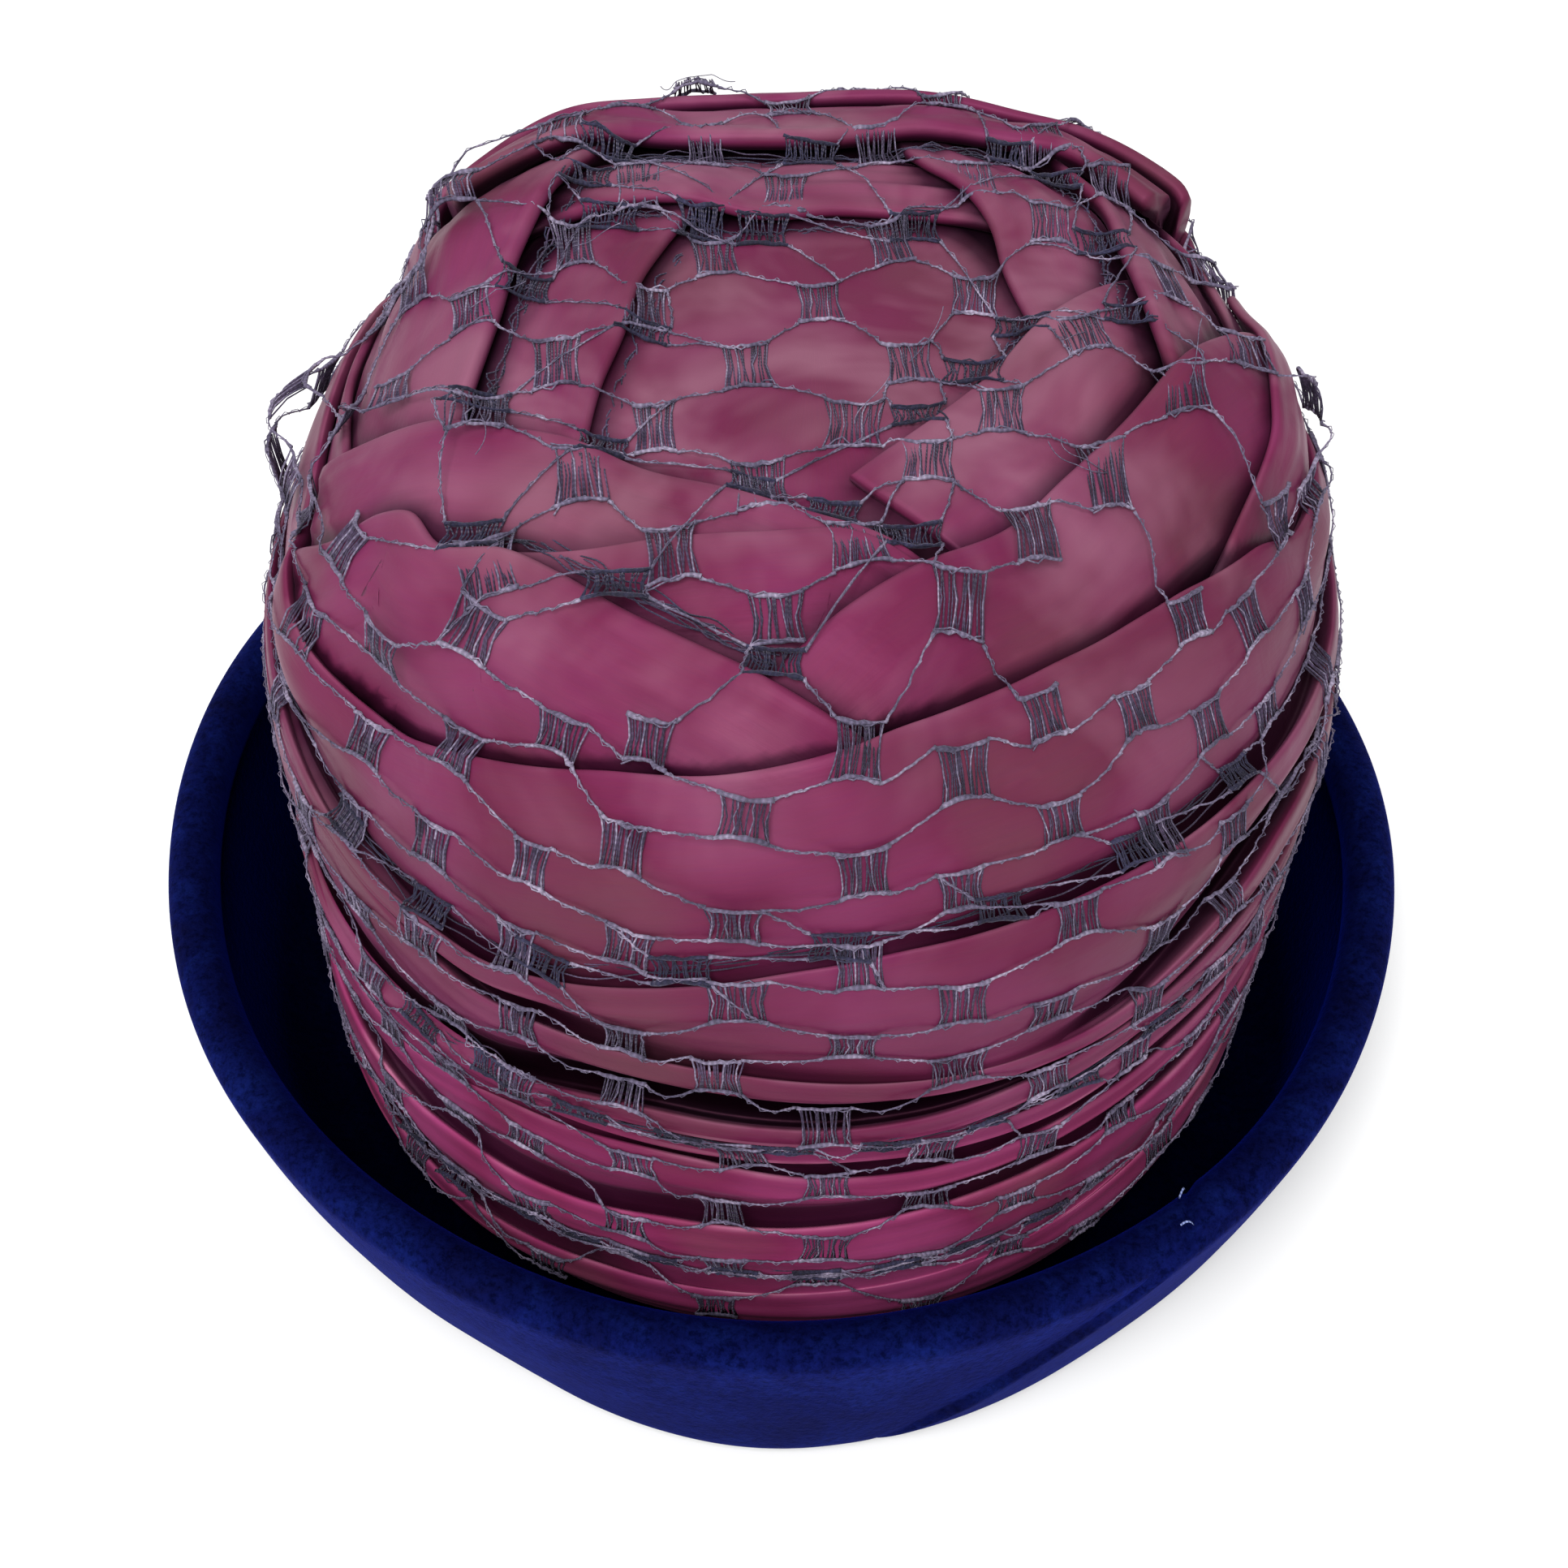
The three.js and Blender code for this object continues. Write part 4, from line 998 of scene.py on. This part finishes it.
def pair_corners():
    """Which corners a cord joins. First the neighbours in each honeycomb; then the closest pairs of
    corners that face opposite ways, each corner once; then each corner left over to the nearest one
    of another ladder that it points to."""
    place = on_net(corner_at, 0.0).reshape(-1, 3)
    facing = on_net(corner_at + spread_out(corner_ways * 2.0), 0.0).reshape(-1, 3) - place
    facing /= np.linalg.norm(facing, axis=1, keepdims=True)
    owner = np.repeat(np.arange(len(centre)), 4)
    kind = np.tile(np.arange(4), len(centre))
    used = np.zeros(len(place), bool)
    joined, pairs = set(), []

    def join(a, b):
        """Notes a cord between two corners, and that their ladders are joined."""
        used[a] = used[b] = True
        joined.add((min(owner[a], owner[b]), max(owner[a], owner[b])))
        pairs.append((a, b))

    at = {(bool(on_side[k]), int(net_column[k]), int(net_row[k])): k for k in np.nonzero(~squeezed)[0]}
    for (side, column, row), number in at.items():
        beyond = (column + 1) % LADDER_COLUMNS if side else column + 1
        for up, corner in ((1, 2), (-1, 1)):
            other = at.get((side, beyond, row + up))
            if other is not None:
                join(number * 4 + (corner + 2 * turned_back[number]) % 4,
                     other * 4 + (corner + 2 + 2 * turned_back[other]) % 4)
    gap = place[None, :, :] - place[:, None, :]
    length = np.linalg.norm(gap, axis=-1) + 1e-6
    leaves = (gap * facing[:, None, :]).sum(-1) / length
    meets = -(gap * facing[None, :, :]).sum(-1) / length
    apart = (owner[:, None] != owner[None, :]) & (length < LONGEST_CORD)
    opposite = (kind[:, None] - kind[None, :]) % 4 == 2
    first, second = np.nonzero(np.triu(apart & opposite & (leaves + meets > 0.3), 1))
    cost = (length + 2) * (2.2 - 0.5 * leaves - 0.5 * meets)
    order = np.argsort(cost[first, second])
    for a, b in zip(first[order], second[order]):
        if not (used[a] or used[b] or (owner[a], owner[b]) in joined):
            join(a, b)
    wanted = np.where(apart & (leaves > 0.2), length * (1.6 - leaves), np.inf)
    for a in np.nonzero(~used)[0]:
        b = wanted[a].argmin()
        between = (min(owner[a], owner[b]), max(owner[a], owner[b]))
        if length[a, b] < LONGEST_STRAY and between not in joined:
            join(a, b)
    return np.array(pairs)


def cord_lines(starts, start_ways, ends, end_ways, count):
    """Lines on the flattened top from start to end, cubics that leave and arrive along the given ways.
    Far from the middle they are worked out in angle and distance, so they follow the hat round."""
    t = np.linspace(0, 1, count)[None, :, None]
    weights = ((1 - t) ** 3, 3 * t * (1 - t) ** 2, 3 * t**2 * (1 - t), t**3)
    knots = (starts, starts + start_ways, ends + end_ways, ends)
    flat = sum(w * knot[:, None, :] for w, knot in zip(weights, knots))
    polar = [np.stack(place_on_top(knot[:, 0], knot[:, 1]), -1) for knot in knots]
    first = polar[0][:, 0]
    for knot in polar:
        knot[:, 0] = first + (knot[:, 0] - first + pi) % (2 * pi) - pi
    turned = sum(w * knot[:, None, :] for w, knot in zip(weights, polar))
    bent = np.stack(flat_place(turned[..., 0], turned[..., 1]), -1)
    far = (polar[0][:, 1] > 62) & (polar[3][:, 1] > 62)
    return np.where(far[:, None, None], bent, flat)


def tubes(lines, radius, sides, shade=0.0):
    """Closed tubes along lines, an array of lines by points by 3. A ring of the given radius stands
    round each point, square to the line, and each end is one flat face. A line's shade is a number
    that is added to its measure round."""
    count, size = lines.shape[:2]
    along = np.gradient(lines, axis=1)
    along /= np.linalg.norm(along, axis=-1, keepdims=True)
    first = np.cross(along, lines - np.array([0.0, 0.0, 60.0]))
    first /= np.linalg.norm(first, axis=-1, keepdims=True)
    second = np.cross(along, first)
    turn = (2 * pi * np.arange(sides) / sides)[:, None]
    ring = first[:, :, None, :] * np.cos(turn) + second[:, :, None, :] * np.sin(turn)
    points = lines[:, :, None, :] + ring * np.broadcast_to(radius, (count, size))[:, :, None, None]
    body = (np.arange(count) * size * sides)[:, None, None]
    i, j = np.meshgrid(np.arange(size - 1), np.arange(sides), indexing="ij")
    quads = np.stack([body + (i + di) * sides + (j + dj) % sides
                      for di, dj in ((0, 0), (1, 0), (1, 1), (0, 1))], -1)
    corner = np.arange(sides)
    caps = np.concatenate([body[:, 0] + corner, body[:, 0] + (size - 1) * sides + corner[::-1]])
    run = np.cumsum(np.linalg.norm(np.diff(lines, axis=1, prepend=lines[:, :1]), axis=-1), axis=1)
    shade = np.broadcast_to(shade, count)[:, None, None]
    uv = np.stack([np.stack([run[:, i + di], (j + dj)[None] / sides + shade], -1)
                   for di, dj in ((0, 0), (1, 0), (1, 1), (0, 1))], -2).reshape(-1, 2)
    uv = np.concatenate([uv, np.zeros((caps.size, 2))])
    return points.reshape(-1, 3), quads.reshape(-1, 4), caps, uv


def waver(count, size, reach, cycles):
    """Smooth random offsets for each of count lines of size points: a few sines of random phase."""
    at = np.linspace(0, 1, size)
    total = 0
    for each in cycles:
        high = chance.standard_normal((count, 1))
        total = total + high * np.sin(2 * pi * each * at + chance.uniform(0, 2 * pi, (count, 1)))
    return reach * total / len(cycles) ** 0.5


# The cords: each leaves one corner and reaches the other a little curved, wanders, hangs a little slack,
# and is thicker at its ends, where it is knotted. A fine strand is wound loosely round each.
pairs = pair_corners()
flat_ways = spread_out(corner_ways).reshape(-1, 2)
starts, ends = (corner_at.reshape(-1, 2)[pairs[:, k]] for k in (0, 1))
length = np.linalg.norm(on_net(starts, 0.0) - on_net(ends, 0.0), axis=1)[:, None]
straight = (ends - starts) / length
flat = cord_lines(starts, (flat_ways[pairs[:, 0]] * 0.15 + straight * 0.85) * length * 0.3,
                  ends, (flat_ways[pairs[:, 1]] * 0.15 - straight * 0.85) * length * 0.3, CORD_POINTS)
along_cord = np.linspace(0, 1, CORD_POINTS)
held = np.sin(pi * along_cord)
flat = flat + np.stack([held * waver(len(flat), CORD_POINTS, 0.13, (1, 2, 4)) for _ in range(2)], -1)
slack = chance.gamma(1.5, 0.25, (len(flat), 1))
lift = CORD_RADIUS + held * slack + np.abs(waver(len(flat), CORD_POINTS, 0.08, (4, 6)))
cords = on_net(flat, lift)
uneven = (1 + 0.16 * chance.standard_normal(cords.shape[:2])).clip(0.6, 1.6)
thick = CORD_RADIUS * (1 + 0.9 * (1 - held) ** 3) * uneven
wound = 2 * pi * (along_cord * length / CORD_TURN + chance.uniform(0, 1, (len(flat), 1)))
loosely = 0.26 + np.abs(waver(len(flat), CORD_POINTS, 0.08, (2, 3, 5)))
strands = on_net(flat + (loosely * np.cos(wound))[..., None], lift + 0.2 + loosely * np.sin(wound))

# The ladders: two bars wound with fuzz, and the rungs between them.
bar_part = np.linspace(-1.06, 1.06, 8)[None, :]
bar_rows = [
    # lines; part of the bar's length; how far they wander aside; height, and how far they wander in it
    {"lines": [], "part": 1.0, "aside": 0.03, "above": 0.3, "rough": 0.08},
    {"lines": [], "part": 0.97, "aside": 0.09, "above": 0.45, "rough": 0.22},
]
for side in (-1, 1):
    for row in bar_rows:
        aside = row["aside"] * chance.standard_normal((len(centre), 8))
        spots = on_ladders(bar_part * row["part"], side * (1 + aside))
        above = row["above"] + row["rough"] * chance.standard_normal((len(centre), 8))
        row["lines"].append(on_net(spots, above))
bars, knots = (np.concatenate(row["lines"]) for row in bar_rows)
bar_thick = BAR_RADIUS * (1 + 0.25 * chance.standard_normal(bars.shape[:2])).clip(0.55, 1.6)
rungs = {}
for row in RUNGS:
    rung, lines = np.linspace(-1, 1, row["points"]), []
    for side in np.linspace(-0.97, 0.97, row["count"]):
        foot, head = side + 0.08 * chance.standard_normal((2, len(centre), 1))
        astray = 0.04 * chance.standard_normal((len(centre), row["points"]))
        spots = on_ladders(foot + (head - foot) * (rung + 1) / 2 + astray,
                           np.broadcast_to(rung, (len(centre), row["points"])))
        arched = 0.12 * (1 - rung**2) * chance.standard_normal((len(centre), 1))
        lines.append(on_net(spots, 0.1 + (row["kind"] == "bright") * 0.15 + arched))
    rungs[row["kind"]] = np.concatenate(lines)


def bunched(route):
    """Crumpled strands along a route: each wanders aside and up and down round it on its own way."""
    line, run = line_through(route, 1.3)
    aside = chance.normal(0, 0.5, (BUNCH_STRANDS, 1)) + waver(BUNCH_STRANDS, len(line), 0.8, (1, 3, 5, 8))
    spots = line[None] + aside[..., None] * ways_along(line)[1][None]
    above = -1.0 + waver(BUNCH_STRANDS, len(line), 0.5, (2, 5, 9))
    # Two strands in three are painted dark as shade in the valley; the rest take the fine threads' grey.
    dark = np.where(np.arange(BUNCH_STRANDS) % 3 == 0, SHADE["fine"], SHADE["valley"])
    return tubes(on_net(spots, above), BUNCH_RADIUS, 3, dark)


bunches = [bunched(route) for route in edge_routes + pleat_routes]

# Loose threads: each starts at a ladder on the top, is blown aside, sags, and stands up at its end.
tail = centre[chance.integers(0, counts[0], LOOSE_THREADS)]
blown = turned_by(np.array([1.0, 0.0]) * chance.uniform(7, 13, (LOOSE_THREADS, 1)),
                  chance.uniform(0, 2 * pi, LOOSE_THREADS))
stands_off = chance.uniform(2.5, 5, (LOOSE_THREADS, 1))
sag = chance.normal(0, 1.2, (2, LOOSE_THREADS, 2))
flat = cord_lines(tail, blown / 3 + sag[0], tail + blown, -blown / 3 + sag[1], CORD_POINTS)
loose_lines = on_net(flat, 0.3 + stands_off * along_cord**1.5)

# Twisted rayon, matt and a little fuzzy: the ply shows as slanting light and dark 0.9 mm apart, and the
# violet-grey dye has faded unevenly, in patches of about 6 mm, to almost lilac. The fine threads are a
# darker grey, and the net gathered in the valleys is painted dark as shade.
net, tree = new_material("rayon veil cord, slate")
place = node(tree, "TexCoord")
fade = node(tree, "TexNoise", links={"Vector": place.outputs["Object"]},
            inputs={"Scale": 160.0, "Detail": 3.0, "Roughness": 0.65})
dye = node(tree, "ValToRGB", links={"Fac": fade.outputs["Fac"]},
           stops=[(0.30, "3a354a"), (0.50, "645c74"), (0.70, "9a8fa6")])
twist = node(tree, "TexWave", links={"Vector": place.outputs["UV"]},
             inputs={"Scale": 350.0, "Distortion": 1.5})
twisted = node(tree, "Mix", **MULTIPLY, inputs={0: 0.35},
               links={6: dye.outputs["Color"], 7: twist.outputs["Color"]})
kinds = node(tree, "SeparateXYZ", links={"Vector": place.outputs["UV"]})
coded = node(tree, "Math", operation="DIVIDE", inputs={1: SHADE_SPAN}, links={0: kinds.outputs["Y"]})
# Painted shade: net coded as lying in a valley is painted dark; fine threads are a darker grey.
fine_and_painted_shade = node(tree, "ValToRGB", links={"Fac": coded.outputs[0]},
            stops=[(0.24, "ffffff"), (0.30, "93829a"), (0.58, "93829a"), (0.64, "5a5f7c")])
darkened_by_kind = node(tree, "Mix", **MULTIPLY, inputs={0: 1.0},
              links={6: twisted.outputs[2], 7: fine_and_painted_shade.outputs["Color"]})
ply = node(tree, "Bump", links={"Height": twist.outputs["Fac"]},
           inputs={"Strength": 0.6, "Distance": 0.0002})
finish_material(tree, node(
    tree, "BsdfPrincipled",
    inputs={"Roughness": 0.75, "IOR": 1.48, "Specular IOR Level": 0.3, "Sheen Weight": 0.2,
            "Sheen Roughness": 0.5, "Sheen Tint": linear("b9b0cc")},
    links={"Base Color": darkened_by_kind.outputs[2], "Normal": ply.outputs["Normal"]}))

# The net is one length; its part over the top and its parts round the back and front are pieces.
ladder_part = np.where(ladder_distance < 92, 0, np.where(np.sin(ladder_angle) < 0.25, 1, 2))
cord_part = ladder_part[pairs // 4].max(1)


def net_piece(name, number, nodes, *others):
    """A piece of the net: the ladders of one part, with their bars and rungs, and its cords."""
    mine, ladders = cord_part == number, ladder_part == number
    both = np.tile(ladders, 2)
    # Squeezed ladders, gathered in the valleys, are painted dark as shade.
    dark = np.where(squeezed, SHADE["valley"], 0)
    bodies = [tubes(cords[mine], thick[mine], 4), tubes(strands[mine], STRAND_RADIUS, 3),
              tubes(bars[both], bar_thick[both], 4, np.tile(dark, 2)[both]),
              tubes(knots[both], KNOT_RADIUS, 3, np.tile(dark, 2)[both])]
    for row in RUNGS:
        every = np.tile(ladders, row["count"])
        shade = np.tile(np.maximum(dark, SHADE[row["kind"]]), row["count"])
        bodies.append(tubes(rungs[row["kind"]][every], row["radius"], 3, shade[every]))
    return new_piece(name, bodies + list(others), net, nodes)


veil_back = net_piece("veil_back", 1, ["veil"])
veil_front = net_piece("veil_front", 2, [])
veil_top = net_piece("veil_top", 0, [], tubes(loose_lines, STRAND_RADIUS, 3), *bunches)


# ---- Floor and light -----------------------------------------------------------------------------
# A plain white studio floor, wide soft light from above and behind the camera, and a bright room.

FLOOR_REACH = 6.0       # in metres
AIM_HEIGHT = 0.08       # of the point that the lamps face, in metres
ROOM_STRENGTH = 0.46

floor_mesh = bpy.data.meshes.new("floor")
floor_mesh.from_pydata([(x * FLOOR_REACH, y * FLOOR_REACH, 0) for x, y in CORNERS], [], [(0, 1, 2, 3)])
paper, tree = new_material("matt studio paper")
finish_material(tree, node(tree, "BsdfPrincipled", inputs={
    "Base Color": linear("f2f2f2"), "Roughness": 0.9, "Specular IOR Level": 0.1}))
floor_mesh.materials.append(paper)
floor = bpy.data.objects.new("floor", floor_mesh)
bpy.context.collection.objects.link(floor)

LAMPS = [
    # place and size in metres, strength in watts
    {"name": "overhead", "place": (-0.3, 0.3, 1.6), "size": 1.4, "watts": 8},
    {"name": "window", "place": (-0.2, -1.2, 1.5), "size": 1.0, "watts": 44},
]
for row in LAMPS:
    lamp = bpy.data.lights.new(row["name"], "AREA")
    lamp.size = row["size"]
    lamp.energy = row["watts"]
    shown = bpy.data.objects.new(row["name"], lamp)
    shown.location = row["place"]
    facing = Vector((0, 0, AIM_HEIGHT)) - Vector(row["place"])
    shown.rotation_euler = facing.to_track_quat("-Z", "Y").to_euler()
    bpy.context.collection.objects.link(shown)

world = bpy.data.worlds.new("bright room")
world.use_nodes = True
background = world.node_tree.nodes["Background"]
background.inputs["Color"].default_value = (1, 1, 1, 1)
background.inputs["Strength"].default_value = ROOM_STRENGTH
bpy.context.scene.world = world
bpy.context.scene.view_settings.view_transform = "Standard"
